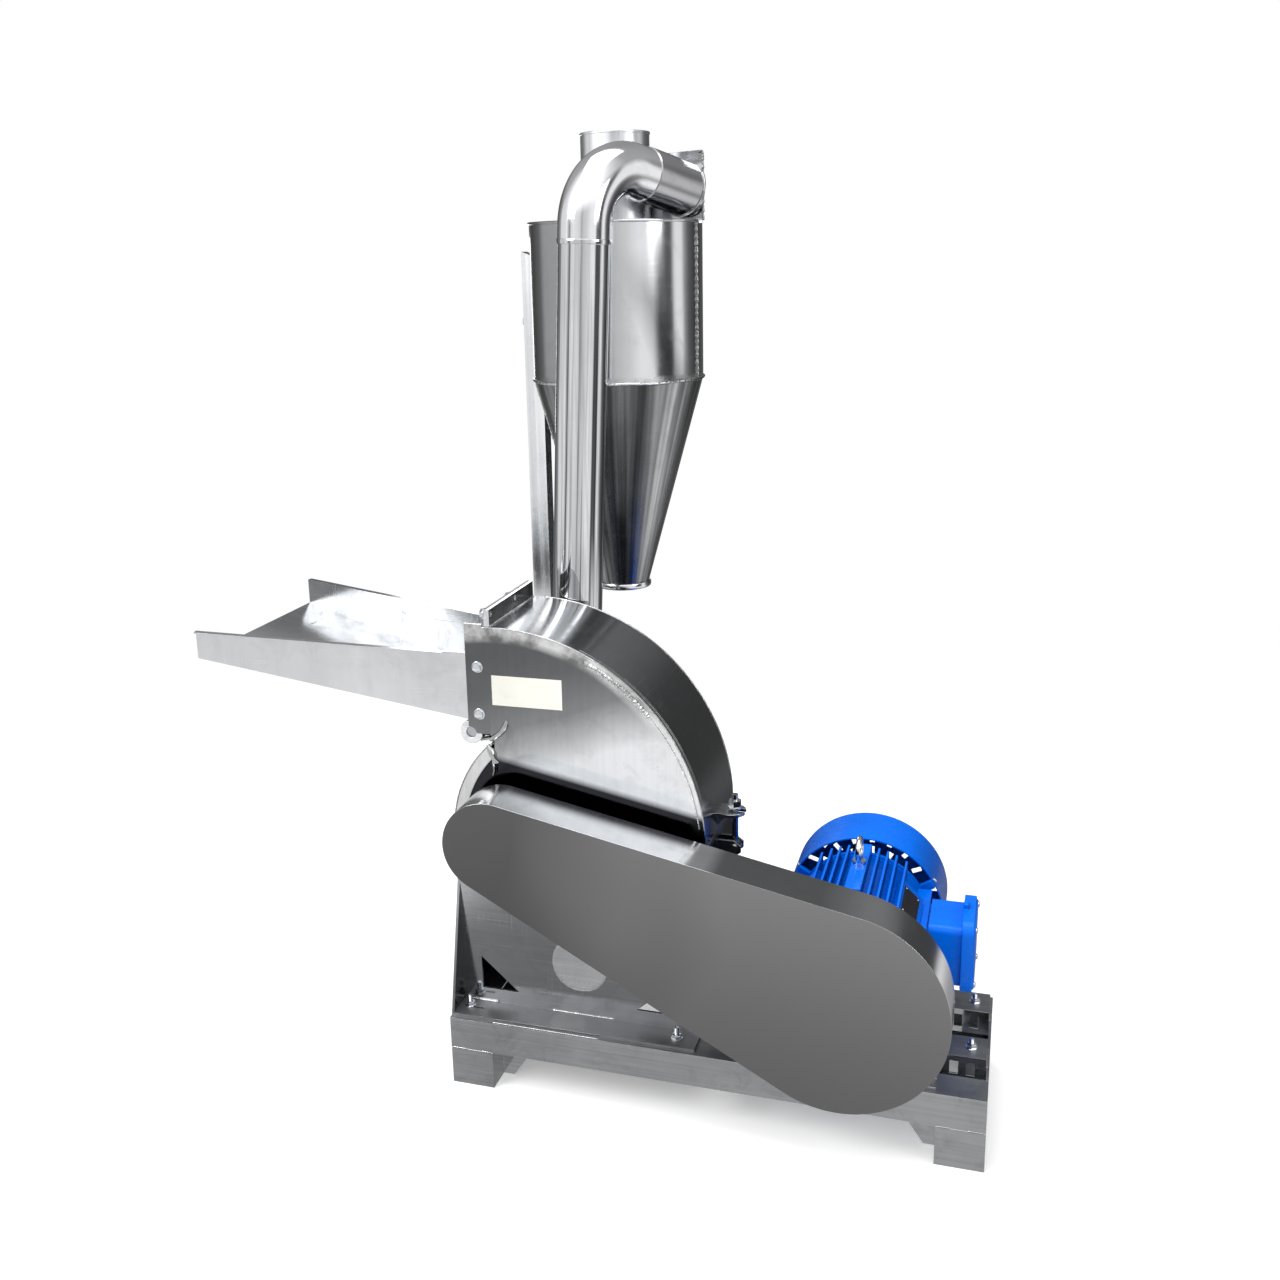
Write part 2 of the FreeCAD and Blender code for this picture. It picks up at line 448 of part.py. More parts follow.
nh = V(math.sin(az), math.cos(az), 0)
ch = V(math.cos(az), -math.sin(az), 0)
cc = V(cyc_x, cyc_y, 0)
plane_d = (V(stub_x, stub_y, 0) - cc).dot(nh) + stub_r + 0.5
s_p = (plane_d - (V(E.x, E.y, 0) - cc).dot(nh)) / t1.dot(nh)
P = E + t1 * s_p
pipe_l = s_p + 20
keep = poly3([tuple(cc + nh * plane_d - ch * 400 + V(0, 0, 1000)), tuple(cc + nh * plane_d + ch * 400 + V(0, 0, 1000)),
              tuple(cc + nh * plane_d + ch * 400 + V(0, 0, 1600)), tuple(cc + nh * plane_d - ch * 400 + V(0, 0, 1600))], tuple(nh * 300))
node("inlet_pipe", cut(cyl(tuple(E), tuple(t1), pipe_r, pipe_l), cyl(tuple(E), tuple(t1), pipe_r - 2, pipe_l), keep))

# ---------------------------------------------------------------- cyclone
# roof: a ruled helix that drops once round, closed by the plate that holds the inlet pipe
heights = [(-40, 1409.5), (-20, 1408.5), (0, 1407), (20, 1403), (45, 1393), (70, 1378), (90, 1358), (110, 1336), (135, 1314), (160, 1306.5),
           (180, 1305), (220, 1304), (250, 1303.5), (270, 1303), (300, 1302.5), (330, 1302), (360, 1301.5), (400, 1301), (440, 1300)]


def hz(a):
    for (a0, h0), (a1, h1) in zip(heights, heights[1:]):
        if a0 <= a <= a1:
            return h0 + (h1 - h0) * (a - a0) / (a1 - a0)
    return heights[-1][1]


def ruled(a0, a1):
    n = 16
    cur = []
    for r in (40.0, 175.0):
        pts = []
        for i in range(n + 1):
            a = a0 + (a1 - a0) * i / n
            x, y = at(cyc_x, cyc_y, r, a)
            h = (hz(max(a0, a - 4)) + hz(min(a1, a + 4))) / 2
            pts.append(V(x, y, h))
        b = Part.BSplineCurve()
        b.interpolate(Points=pts, Parameters=[i / n for i in range(n + 1)])
        cur.append(b.toShape())
    return Part.makeRuledSurface(cur[0], cur[1], 1)


T = cc + nh * plane_d
far = T + ch * 260
high = pz((cyc_x, cyc_y), [(T.x, T.y), (far.x, far.y), (cyc_x + 300, cyc_y + 300), (cyc_x - 300, cyc_y + 300), (cyc_x - 300, cyc_y)], 1000, 1500)
low = pz((cyc_x, cyc_y), [(cyc_x - 300, cyc_y), (cyc_x - 300, cyc_y - 300), (cyc_x + 300, cyc_y - 300), (far.x, far.y), (T.x, T.y)], 1000, 1500)
ring_wall = cut(zcyl(cyc_x, cyc_y, cyc_r, cyc_z0, 1480), zcyl(cyc_x, cyc_y, cyc_r - 2, cyc_z0 - 1, 1481))
disc_full = cut(zcyl(cyc_x, cyc_y, cyc_r, 1200, 1480), zcyl(stub_x, stub_y, stub_r, 1199, 1481))
pieces = []
for region, a0, a1 in ((high, -40, 180), (low, 180, 436)):
    f = ruled(a0, a1)
    above = f.extrude(V(0, 0, 260))
    f2 = f.copy()
    f2.translate(V(0, 0, -2.5))
    below = f2.extrude(V(0, 0, -260))
    w = ring_wall.common(region).cut(above)
    r = disc_full.common(region).cut(above).cut(below)
    pieces += [max(w.Solids, key=lambda s: s.Volume), max(r.Solids, key=lambda s: s.Volume)]
pl = poly3([tuple(T + V(0, 0, 1298)), tuple(T + ch * 134.5 + V(0, 0, 1298)), tuple(T + ch * 134.5 + V(0, 0, 1409.5)), tuple(T + V(0, 0, 1409.5))], tuple(nh * 2.5))
pl = cut(pl, cyl(tuple(P - t1 * 40), tuple(t1), pipe_r - 2, 120), zcyl(stub_x, stub_y, stub_r, 1199, 1481))
pl = max(pl.Solids, key=lambda s: s.Volume)
body = fuse(*(pieces + [pl]))
node("cyclone_body", body)
cone = cut(Part.makeCone(spout_r, cyc_r, cyc_z0 - cone_z0, V(cyc_x, cyc_y, cone_z0), V(0, 0, 1)),
           Part.makeCone(spout_r - 2, cyc_r - 2, cyc_z0 - cone_z0, V(cyc_x, cyc_y, cone_z0), V(0, 0, 1)))
rim = cut(zcyl(cyc_x, cyc_y, spout_r + 3, cone_z0 - 6, cone_z0 + 4), zcyl(cyc_x, cyc_y, spout_r - 2, cone_z0 - 7, cone_z0 + 5))
node("cyclone_cone", fuse(cone, cut(rim, Part.makeCone(spout_r - 1, cyc_r - 1, cyc_z0 - cone_z0, V(cyc_x, cyc_y, cone_z0), V(0, 0, 1)))))
node("outlet_stub", cut(zcyl(stub_x, stub_y, stub_r, 1200, stub_top), zcyl(stub_x, stub_y, stub_r - 2, 1199, stub_top + 1)))

# post of the cyclone: a channel welded to the cylinder, on an outrigger behind the frame
pxa, pxb, pya, pyb = -24.0, 8.0, 500.0, 530.0
post = cut(fuse(box(pxa, pya, zt, pxb, pya + 2.5, 1262), box(pxa, pya, zt, pxa + 2.5, pyb, 1262), box(pxa, pyb - 2.5, zt, pxb, pyb, 1262)),
           zcyl(cyc_x, cyc_y, cyc_r, 1040, 1400), poly3([(pxa - 1, pya - 1, 1262), (pxb + 1, pya - 1, 1248), (pxb + 1, pya - 1, 1300), (pxa - 1, pya - 1, 1300)], (0, 60, 0)),
           xcyl(515, 1145, 4.2, pxa - 1, pxa + 4))
tabs = [cut(box(pxa + 2.5, 508, z, 20, 522, z + 4), zcyl(cyc_x, cyc_y, cyc_r, 1040, 1400)) for z in (1090, 1200)]
node("support_post", fuse(post, *tabs))
orx0, orx1 = -26.0, 34.0
outr = fuse(box(orx0, D, zt - t_f, orx1, 536, zt), box(orx0, D, zb, orx0 + t_f, 536, zt - t_f), box(orx1 - t_f, D, zb, orx1, 536, zt - t_f))
footp = fuse(box(orx0, 476, 0, orx0 + t_f, 536, zb), box(orx0, 532, 0, orx1, 536, zb), box(orx1 - t_f, 476, 0, orx1, 536, zb))
node("post_outrigger", fuse(outr, footp))

# ---------------------------------------------------------------- motor
mx, mz = motor_x, motor_z
core = ycyl(mx, mz, 100, 45, 255)
fr = [core]
for s in (-1, 1):
    for o in (23, 36.3, 49.6, 64.5):
        zt_f = mz + math.sqrt(118.0 ** 2 - o ** 2)
        fr.append(box(mx + s * o - 1.6, 50, mz + 60, mx + s * o + 1.6, 250, zt_f))
    for o in (-58, -44, -30, -16, -2, 12, 26, 40, 54) if s < 0 else (-58, -44, 54):
        xw = math.sqrt(117.0 ** 2 - o ** 2)
        xs = sorted((mx + s * 60, mx + s * xw))
        fr.append(box(xs[0], 50, mz + o - 1.6, xs[1], 250, mz + o + 1.6))
    pad = box(-22, 92, 80, 22, 200, 111)
    pad.rotate(V(0, 0, 0), V(0, 1, 0), 45 * s)
    pad.translate(V(mx, 0, mz))
    fr.append(pad)
    fr.append(py((mx + s * 62, mz - 88), [(mx + s * 115, mz - 100), (mx + s * 115, rail_top), (mx + s * 76, rail_top), (mx + s * 60, mz - 78)], 86, 114))
    fr.append(py((mx + s * 62, mz - 88), [(mx + s * 115, mz - 100), (mx + s * 115, rail_top), (mx + s * 76, rail_top), (mx + s * 60, mz - 78)], 226, 254))
    fr.append(box(min(mx + s * 76, mx + s * 115), 114, rail_top, max(mx + s * 76, mx + s * 115), 226, rail_top + 12))
fr.append(box(mx - 11.5, 96, mz + 90, mx + 11.5, 253, mz + 119))
fr.append(box(mx + 80, 130, mz - 26, 706, 215, mz + 50))
holes = [ycyl(mx, mz, 60, 40, 260), zcyl(mx, 182, 5.1, mz + 95, mz + 130)]
holes += [zcyl(mx + s * 95, yy, 5.6, 110, 160) for s in (-1, 1) for yy in (100, 240)]
holes += [zcyl(mx + s * 95, yy, 11, 139, 160) for s in (-1, 1) for yy in (100, 240)]
node("motor_frame", cut(fuse(*fr), *holes))
shield_f = cut(fuse(ycyl(mx, mz, 104, 37, 45), ycyl(mx, mz, 60, 30, 45), *[
    ycyl(*at(mx, mz, 96, a), 7, 33, 45) for a in (45, 135, 225, 315)]), ycyl(mx, mz, 19 + fit, 20, 60), ycyl(mx, mz, 50, 38, 46))
shield_r = cut(fuse(ycyl(mx, mz, 102, 255, 263), ycyl(mx, mz, 40, 255, 266)), ycyl(mx, mz, 14 + fit, 250, 270))
node("motor_end_shields", shield_f, shield_r)
node("motor_shaft", fuse(ycyl(mx, mz, 19, -30, 244), ycyl(mx, mz, 14, 244, 306), ycyl(mx, mz, 59, 62, 236)))
node("motor_pulley", pulley(mx, mz, motor_pulley_r, 19, True))
cf = [cut(ycyl(mx, mz, 22, 274, 302), ycyl(mx, mz, 14.02, 270, 310)), cut(ycyl(mx, mz, 94, 274, 277), ycyl(mx, mz, 21, 270, 280))]
for k in range(7):
    b = box(mx + 21, 277, mz - 1.5, mx + 94, 300, mz + 1.5)
    b.rotate(V(mx, 0, mz), V(0, 1, 0), 360.0 / 7 * k)
    cf.append(b)
node("cooling_fan", fuse(*cf))
cowl = cut(ycyl(mx, mz, 121.8, 266.8, 370), ycyl(mx, mz, 119.8, 260, 367.5))
cowl = Part.makeCompound([cowl]).Solids[0]
edge = [e for e in cowl.Edges if abs(e.BoundBox.YMin - 370) < 0.01 and abs(e.BoundBox.YMax - 370) < 0.01]
cowl = cowl.makeFillet(2.2, edge) if edge else cowl
vents = []
for rr, n in ((34, 8), (56, 12), (78, 16), (100, 20)):
    for k in range(n):
        b = box(rr - 8, 360, -4, rr + 8, 375, 4)
        b.rotate(V(0, 0, 0), V(0, 1, 0), 360.0 / n * k)
        b.translate(V(mx, 0, mz))
        vents.append(b)
lugs = []
for a in (30, 150, 210, 330):
    b = box(101, 258, -6, 120.5, 268, 6)
    b.rotate(V(0, 0, 0), V(0, 1, 0), a)
    b.translate(V(mx, 0, mz))
    lugs.append(b)
cowl = cut(cowl, *vents)
node("motor_cowl", fuse(cowl, *[cut(b, ycyl(mx, mz, 102.02, 250, 264)) for b in lugs]))


def rbox_x(x0, y0, z0, x1, y1, z1, r):
    a, b = (y0, y1), (z0, z1)
    q = math.sqrt(0.5) * r
    return px((a[0], b[0] + r), [(a[0], b[1] - r), (a[0] + r - q, b[1] - r + q, a[0] + r, b[1]), (a[1] - r, b[1]),
                                 (a[1] - r + q, b[1] - r + q, a[1], b[1] - r), (a[1], b[0] + r), (a[1] - r + q, b[0] + r - q, a[1] - r, b[0]),
                                 (a[0] + r, b[0]), (a[0] + r - q, b[0] + r - q, a[0], b[0] + r)], x0, x1)


tb = cut(rbox_x(706, 125, 205, 753, 220, 300, 12), rbox_x(709, 129, 209, 753, 216, 296, 9), xcyl(172, 252, 15, 700, 712))
gland = cut(fuse(zcyl(729, 150, 13, 193, 205), zcyl(729, 150, 10.5, 184, 193)), zcyl(729, 150, 7, 180, 210))
gland2 = cut(fuse(zcyl(729, 192, 13, 193, 205), zcyl(729, 192, 10.5, 184, 193)), zcyl(729, 192, 7, 188, 210))
tb = cut(tb, zcyl(729, 150, 7, 200, 212), zcyl(729, 192, 7, 200, 212))
node("terminal_box", tb, gland, gland2)
lid = fuse(rbox_x(753, 117, 198, 770, 228, 312, 20), rbox_x(770, 121, 202, 772.5, 224, 308, 18), box(753, 164, 306, 760, 181, 320), box(753, 164, 190, 760, 181, 204))
node("terminal_lid", cut(lid, rbox_x(752, 129, 209, 766, 216, 296, 9)))
ey = fuse(Part.makeTorus(16, 4.5, V(mx, 182, mz + 119 + 23), V(1, 0, 0)), zcyl(mx, 182, 10, mz + 119, mz + 125), zcyl(mx, 182, 5, mz + 100, mz + 122))
node("lifting_eye", ey)
npad = box(-15, 108, 111, 15, 186, 112)
npad.rotate(V(0, 0, 0), V(0, 1, 0), 45)
npad.translate(V(mx, 0, mz))
node("motor_blank_plate", npad)
node("motor_foot_bolts", *[bolt((mx + s * 95, yy, 139), (0, 0, -1), 5, 16, 7, 15, 8, 4) for s in (-1, 1) for yy in (100, 240)])

# ---------------------------------------------------------------- belts and guard


def belt(y0):
    c1, c2 = (rotor_x, rotor_z), (mx, mz)
    return cut(taper(c1, rotor_pulley_r, c2, motor_pulley_r, y0, y0 + 13), taper(c1, rotor_pulley_r - 8.5, c2, motor_pulley_r - 8.5, y0 - 1, y0 + 14))


node("drive_belts", belt(-18.5), belt(-2.5))
gd = cut(taper(guard_c1, guard_r1, guard_c2, guard_r2, guard_y0, guard_y1), taper(guard_c1, guard_r1 - 2, guard_c2, guard_r2 - 2, guard_y0 + 2, guard_y1 + 1),
         box(400, -0.5, 0, 800, 60, zt + 0.5))
ears = [box(36, 27, 380, 70, 30, 405), box(280, 27, 234, 310, 30, 262), box(700, 27, 143, 730, 30, 172)]
inside = taper(guard_c1, guard_r1 - 1, guard_c2, guard_r2 - 1, 0, 60)
gear = fuse(gd, *[e.common(inside) for e in ears])
gb_pts = [(53, 393), (295, 250), (715, 158)]
node("belt_guard", cut(gear, *[ycyl(a, b, 4.3, 20, 40) for a, b in gb_pts]))
brk = [fuse(box(36, 30, 380, 70, 34, 405), box(66, 34, 380, 70, 51, 405), box(66, 51, 380, 92, 55, 405)),
       fuse(box(280, 30, 236, 310, 34, 262), box(306, 34, 236, 310, 51, 262), box(306, 51, 236, 332, 55, 262)),
       fuse(box(700, 30, zt, 730, 34, 172), box(700, 8, zt, 730, 30, zt + 4))]
node("guard_brackets", *[cut(b, *[ycyl(p[0], p[1], 4.3, 20, 40) for p in gb_pts]) for b in brk])

# ---------------------------------------------------------------- bolts of the fixed parts
ab = []
for x, y, g in ((20, 36, 0), (354, 31, 0), (20, 259, 0), (374, 259, 0)):
    ab.append(bolt((x, y, zt - t_f), (0, 0, 1), 4, 13, 5.5, 8, 7, 11))
for p in gb_pts:
    ab.append(bolt((p[0], 27, p[1]), (0, 1, 0), 4, 13, 5.5, 7, 6.5, 2))
for s in (-1, 1):
    ab.append(bolt((rotor_x + s * 65, 43, rotor_z), (0, 1, 0), 5, 16, 7, 16, 4.5, 0))
    ab.append(bolt((rotor_x + s * 65, 345, rotor_z), (0, -1, 0), 5, 16, 7, 15, 8, 0))
for y in (104, 230):
    ab.append(bolt((774, y, rail_top - 3), (0, 0, 1), 4, 13, 5.5, 3, 7, 7))
ab.append(bolt((pxa, 515, 1145), (1, 0, 0), 4, 13, 5.5, 2.5, 6.5, 3))
node("assembly_bolts", *ab)

# ---------------------------------------------------------------- write
for name, shape in nodes.items():
    s = shape.copy()
    s.translate(OFF)
    s.exportStep("parts/%s.step" % name)
    print("%-22s solids %3d valid %s vol %.1f cm3" % (name, len(s.Solids), s.isValid(), s.Volume / 1000.0))
print(len(nodes), "nodes", "phi", round(phi, 2), "S", [round(c, 1) for c in S], "E", [round(c, 1) for c in E], "P", [round(c, 1) for c in P])
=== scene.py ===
import json
import math
import random

import bmesh
import bpy
from mathutils import Matrix, Vector


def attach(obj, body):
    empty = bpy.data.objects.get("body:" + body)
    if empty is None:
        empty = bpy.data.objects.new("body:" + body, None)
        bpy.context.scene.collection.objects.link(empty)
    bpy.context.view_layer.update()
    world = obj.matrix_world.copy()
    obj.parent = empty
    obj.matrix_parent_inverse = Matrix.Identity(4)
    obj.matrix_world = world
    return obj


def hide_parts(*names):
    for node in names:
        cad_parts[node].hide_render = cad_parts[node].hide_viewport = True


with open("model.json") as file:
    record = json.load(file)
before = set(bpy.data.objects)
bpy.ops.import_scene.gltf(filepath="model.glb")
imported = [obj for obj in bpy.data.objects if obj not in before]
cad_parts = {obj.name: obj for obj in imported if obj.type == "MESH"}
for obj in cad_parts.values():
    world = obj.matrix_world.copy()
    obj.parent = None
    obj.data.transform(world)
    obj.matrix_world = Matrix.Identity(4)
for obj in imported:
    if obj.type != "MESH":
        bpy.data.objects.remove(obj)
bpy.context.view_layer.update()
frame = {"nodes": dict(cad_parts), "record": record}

random.seed(7)

# Shape work below is in millimetres from the front left lower corner of the
# base frame; W() turns a point into metres in the frame of the model.
OX, OY = -212.306, -290.35


def W(x, y, z):
    return Vector(((x + OX) / 1000.0, (y + OY) / 1000.0, z / 1000.0))


BODY = {}
for _b, _ns in frame["record"]["behaviour"]["bodies"].items():
    for _n in _ns:
        BODY[_n] = _b


# ------------------------------------------------------------------ materials
class Net:
    """A small builder of shader networks on one Principled shader."""

    def __init__(self, name, base, rough, metal=1.0):
        self.m = bpy.data.materials.new(name)
        self.m.use_nodes = True
        self.t = self.m.node_tree
        self.t.nodes.clear()
        self.out = self.t.nodes.new("ShaderNodeOutputMaterial")
        self.p = self.t.nodes.new("ShaderNodeBsdfPrincipled")
        self.t.links.new(self.p.outputs[0], self.out.inputs[0])
        self.p.inputs["Metallic"].default_value = metal
        self.tc = self.t.nodes.new("ShaderNodeTexCoord").outputs["Object"]
        self.col = self.rgb(base)
        self.rgh = self.val(rough)
        self.h = None

    def new(self, kind, **props):
        n = self.t.nodes.new(kind)
        for k, v in props.items():
            setattr(n, k, v)
        return n

    def put(self, sock, v):
        if isinstance(v, bpy.types.NodeSocket):
            self.t.links.new(v, sock)
        else:
            sock.default_value = v

    def rgb(self, c):
        n = self.new("ShaderNodeRGB")
        n.outputs[0].default_value = (c[0], c[1], c[2], 1)
        return n.outputs[0]

    def val(self, v):
        n = self.new("ShaderNodeValue")
        n.outputs[0].default_value = v
        return n.outputs[0]

    def math(self, op, a, b=0.0, c=0.0):
        n = self.new("ShaderNodeMath", operation=op)
        self.put(n.inputs[0], a)
        self.put(n.inputs[1], b)
        self.put(n.inputs[2], c)
        return n.outputs[0]

    def mix(self, f, a, b, mode="MIX"):
        n = self.new("ShaderNodeMix", data_type="RGBA", blend_type=mode)
        self.put(n.inputs[0], f)
        for i, v in ((6, a), (7, b)):
            self.put(n.inputs[i], v if isinstance(v, bpy.types.NodeSocket) else (*v, 1))
        return n.outputs[2]

    def lerp(self, f, a, b):
        n = self.new("ShaderNodeMix", data_type="FLOAT")
        self.put(n.inputs[0], f)
        self.put(n.inputs[2], a)
        self.put(n.inputs[3], b)
        return n.outputs[0]

    def map(self, scale=(1, 1, 1), rot=(0, 0, 0), loc=(0, 0, 0), vec=None):
        n = self.new("ShaderNodeMapping")
        self.put(n.inputs[0], vec or self.tc)
        n.inputs["Scale"].default_value = scale
        n.inputs["Rotation"].default_value = rot
        n.inputs["Location"].default_value = loc
        return n.outputs[0]

    def noise(self, scale, vec=None, detail=3.0, rough=0.55, dist=0.0):
        n = self.new("ShaderNodeTexNoise")
        self.put(n.inputs["Vector"], vec or self.tc)
        n.inputs["Scale"].default_value = scale
        n.inputs["Detail"].default_value = detail
        n.inputs["Roughness"].default_value = rough
        n.inputs["Distortion"].default_value = dist
        return n.outputs[0]

    def ramp(self, f, *stops):
        n = self.new("ShaderNodeValToRGB")
        self.put(n.inputs[0], f)
        e = n.color_ramp.elements
        while len(e) < len(stops):
            e.new(0.5)
        for i, (p, c) in enumerate(stops):
            e[i].position = p
            e[i].color = (c, c, c, 1) if not isinstance(c, tuple) else (*c, 1)
        return n.outputs[0]

    def tint(self, f, lo, hi):
        # multiplies the colour by lo where f is 0 and by hi where f is 1
        self.col = self.mix(1.0, self.col, self.mix(f, (lo,) * 3, (hi,) * 3), "MULTIPLY")

    def rough_add(self, f, amount):
        self.rgh = self.math("ADD", self.rgh, self.math("MULTIPLY", self.math("SUBTRACT", f, 0.5), amount))

    def height(self, f, amount):
        a = self.math("MULTIPLY", f, amount)
        self.h = a if self.h is None else self.math("ADD", self.h, a)

    def length(self, cx, cy, cz, ax=(1, 0, 1)):
        # distance in metres from an axis through a point
        n = self.new("ShaderNodeVectorMath", operation="SUBTRACT")
        self.put(n.inputs[0], self.tc)
        n.inputs[1].default_value = (cx, cy, cz)
        q = self.new("ShaderNodeVectorMath", operation="MULTIPLY")
        self.put(q.inputs[0], n.outputs[0])
        q.inputs[1].default_value = ax
        r = self.new("ShaderNodeVectorMath", operation="LENGTH")
        self.put(r.inputs[0], q.outputs[0])
        return r.outputs["Value"], n.outputs[0]

    def finish(self, bump=1.0, aniso=0.0):
        self.put(self.p.inputs["Base Color"], self.col)
        cl = self.new("ShaderNodeClamp")
        self.put(cl.inputs[0], self.rgh)
        cl.inputs[1].default_value = 0.04
        cl.inputs[2].default_value = 1.0
        self.put(self.p.inputs["Roughness"], cl.outputs[0])
        self.p.inputs["Anisotropic"].default_value = aniso
        if self.h is not None:
            b = self.new("ShaderNodeBump")
            b.inputs["Strength"].default_value = bump
            b.inputs["Distance"].default_value = 0.001
            self.put(b.inputs["Height"], self.h)
            self.put(self.p.inputs["Normal"], b.outputs[0])
        return self.m


def steel(name, base, rough, grain=(4, 4, 300), grain_amt=0.12, cloud=0.1, wave=0.5, scratch=0.25, smudge=0.12, tone=(0.98, 1.0, 1.02)):
    n = Net(name, [b * t for b, t in zip(base, tone)], rough)
    g = n.noise(1.0, n.map(grain), 2.0, 0.5)
    n.tint(n.ramp(g, (0.3, 0.0), (0.7, 1.0)), 1 - grain_amt * 0.5, 1 + grain_amt * 0.4)
    n.rough_add(g, grain_amt)
    c = n.noise(5.5, None, 4.0, 0.6, 0.4)
    n.tint(n.ramp(c, (0.3, 0.0), (0.7, 1.0)), 1 - cloud, 1 + cloud * 0.7)
    n.rough_add(c, cloud * 0.6)
    # long fine scratches in two directions, and short handling marks
    for rot, sc, lo in (((0.3, 0.5, 0.2), (7, 7, 420), 0.655), ((1.1, 0.2, 1.4), (520, 6, 9), 0.665)):
        s = n.ramp(n.noise(1.0, n.map(sc, rot), 1.0, 0.4), (lo, 0.0), (lo + 0.03, 1.0))
        brk = n.ramp(n.noise(14.0, n.map(loc=(rot[0], 3, 1)), 2.0), (0.48, 0.0), (0.6, 1.0))
        s = n.math("MULTIPLY", s, brk)
        n.col = n.mix(n.math("MULTIPLY", s, scratch), n.col, (min(1, base[0] * 1.9),) * 3)
        n.rough_add(s, scratch * 0.5)
        n.height(s, -0.04 * scratch)
    sm = n.ramp(n.noise(23.0, n.map(loc=(2, 5, 9)), 5.0, 0.65, 0.8), (0.5, 0.0), (0.72, 1.0))
    n.tint(sm, 1.0, 1 - smudge)
    n.rough_add(sm, smudge)
    n.height(n.noise(9.0, None, 1.0, 0.4), wave)
    n.height(g, 0.02 * grain_amt * 8)
    return n


def ring_band(n, c, r0, r1, ax=(1, 0, 1), bright=1.7, rough=0.34, streak=True):
    # ground band beside a welded edge: brighter, with fine strokes across the edge
    d, rel = n.length(*c, ax)
    m = n.ramp(n.math("DIVIDE", n.math("SUBTRACT", d, r0), r1 - r0), (0.0, 0.0), (0.25, 1.0))
    wob = n.ramp(n.noise(30.0, None, 3.0), (0.3, 0.25), (0.6, 1.0))
    m = n.math("MULTIPLY", m, wob)
    n.col = n.mix(m, n.col, n.mix(n.noise(420.0, None, 2.0), (0.50 * bright / 1.7,) * 3, (0.86 * bright / 1.7,) * 3))
    n.rgh = n.lerp(m, n.rgh, rough)
    n.height(n.math("MULTIPLY", n.noise(300.0, None, 2.0), m), 0.12)
    return n


A_HOUSE = tuple(W(197, 0, 400))
A_COVER = tuple(W(78, 0, 411))
A_CYC = tuple(W(149, 484, 0))
MAT = {}
n = steel("guard_satin", (0.72, 0.72, 0.725), 0.22, (3, 3, 160), 0.05, 0.06, 0.3, 0.05, 0.06)
gx = n.new("ShaderNodeSeparateXYZ")
n.put(gx.inputs[0], n.new("ShaderNodeTexCoord").outputs["Normal"])
face = n.ramp(n.math("ABSOLUTE", gx.outputs[1]), (0.93, 0.0), (0.985, 1.0))
px = n.new("ShaderNodeSeparateXYZ")
n.put(px.inputs[0], n.tc)
# painted light: the guard's flat face gets a set grey, darker at the rotor end and lighter towards the motor end, with
# a random wobble
side = n.math("ADD", n.math("MULTIPLY", px.outputs[0], 1.1), 0.42)
side = n.math("ADD", side, n.math("MULTIPLY", n.math("SUBTRACT", n.noise(2.2, None, 2.0, 0.5, 0.3), 0.5), 0.7))
tone = n.mix(n.ramp(side, (0.25, 0.0), (0.65, 1.0)), (0.15,) * 3, (0.33,) * 3)
# painted shade: the guard's rim is darkened along the stretch towards the motor end
rim = n.math("SUBTRACT", n.ramp(px.outputs[0], (0.20, 0.0), (0.22, 1.0)), n.ramp(px.outputs[0], (0.36, 0.0), (0.46, 1.0)))
n.tint(rim, 1.0, 0.36)
n.col = n.mix(face, n.col, tone)
n.rgh = n.lerp(face, n.rgh, 0.42)
MAT["guard"] = n.finish(0.5)
n = steel("cover_plate_ground", (0.92, 0.92, 0.925), 0.21, (160, 3, 5), 0.07, 0.08, 0.5, 0.12, 0.10)
d, _ = n.length(*A_COVER)
band = n.ramp(n.math("DIVIDE", d, 0.316), (0.925, 0.0), (0.965, 1.0))
brk = n.ramp(n.noise(22.0, None, 4.0), (0.42, 0.15), (0.6, 1.0))
band = n.math("MULTIPLY", band, brk)
n.col = n.mix(band, n.col, (0.96, 0.96, 0.96))
n.rgh = n.lerp(band, n.rgh, 0.40)
n.height(n.math("MULTIPLY", n.noise(260.0, None, 2.0), band), 0.25)
h, _ = n.length(*W(76, 0, 556))
sp = n.math("MULTIPLY", n.ramp(n.math("DIVIDE", h, 0.052), (0.15, 1.0), (1.0, 0.0)), n.ramp(n.noise(34.0, n.map((1, 1, 0.45), (0, 0.6, 0)), 3.0), (0.5, 0.0), (0.58, 1.0)))
n.col = n.mix(sp, n.col, (0.85, 0.85, 0.86))
n.rgh = n.lerp(sp, n.rgh, 0.42)
# painted light: the plate is lighter low down and darker higher up and towards the left, with a random wobble
zz = n.new("ShaderNodeSeparateXYZ")
n.put(zz.inputs[0], n.tc)
up01 = n.math("ADD", n.math("MULTIPLY", n.math("SUBTRACT", zz.outputs[2], 0.55), 5.2), n.math("MULTIPLY", n.noise(4.0, None, 2.0), 0.35))
up01 = n.math("SUBTRACT", up01, n.math("MULTIPLY", n.math("ADD", zz.outputs[0], 0.06), 1.6))
painted_light_grade = n.ramp(up01, (0.0, 0.90), (0.20, 0.52), (0.38, 0.28), (0.70, 0.18), (1.0, 0.16))
n.col = n.mix(1.0, n.col, painted_light_grade, "MULTIPLY")
n.col = n.mix(n.math("MULTIPLY", band, 0.85), n.col, (0.97, 0.97, 0.97))
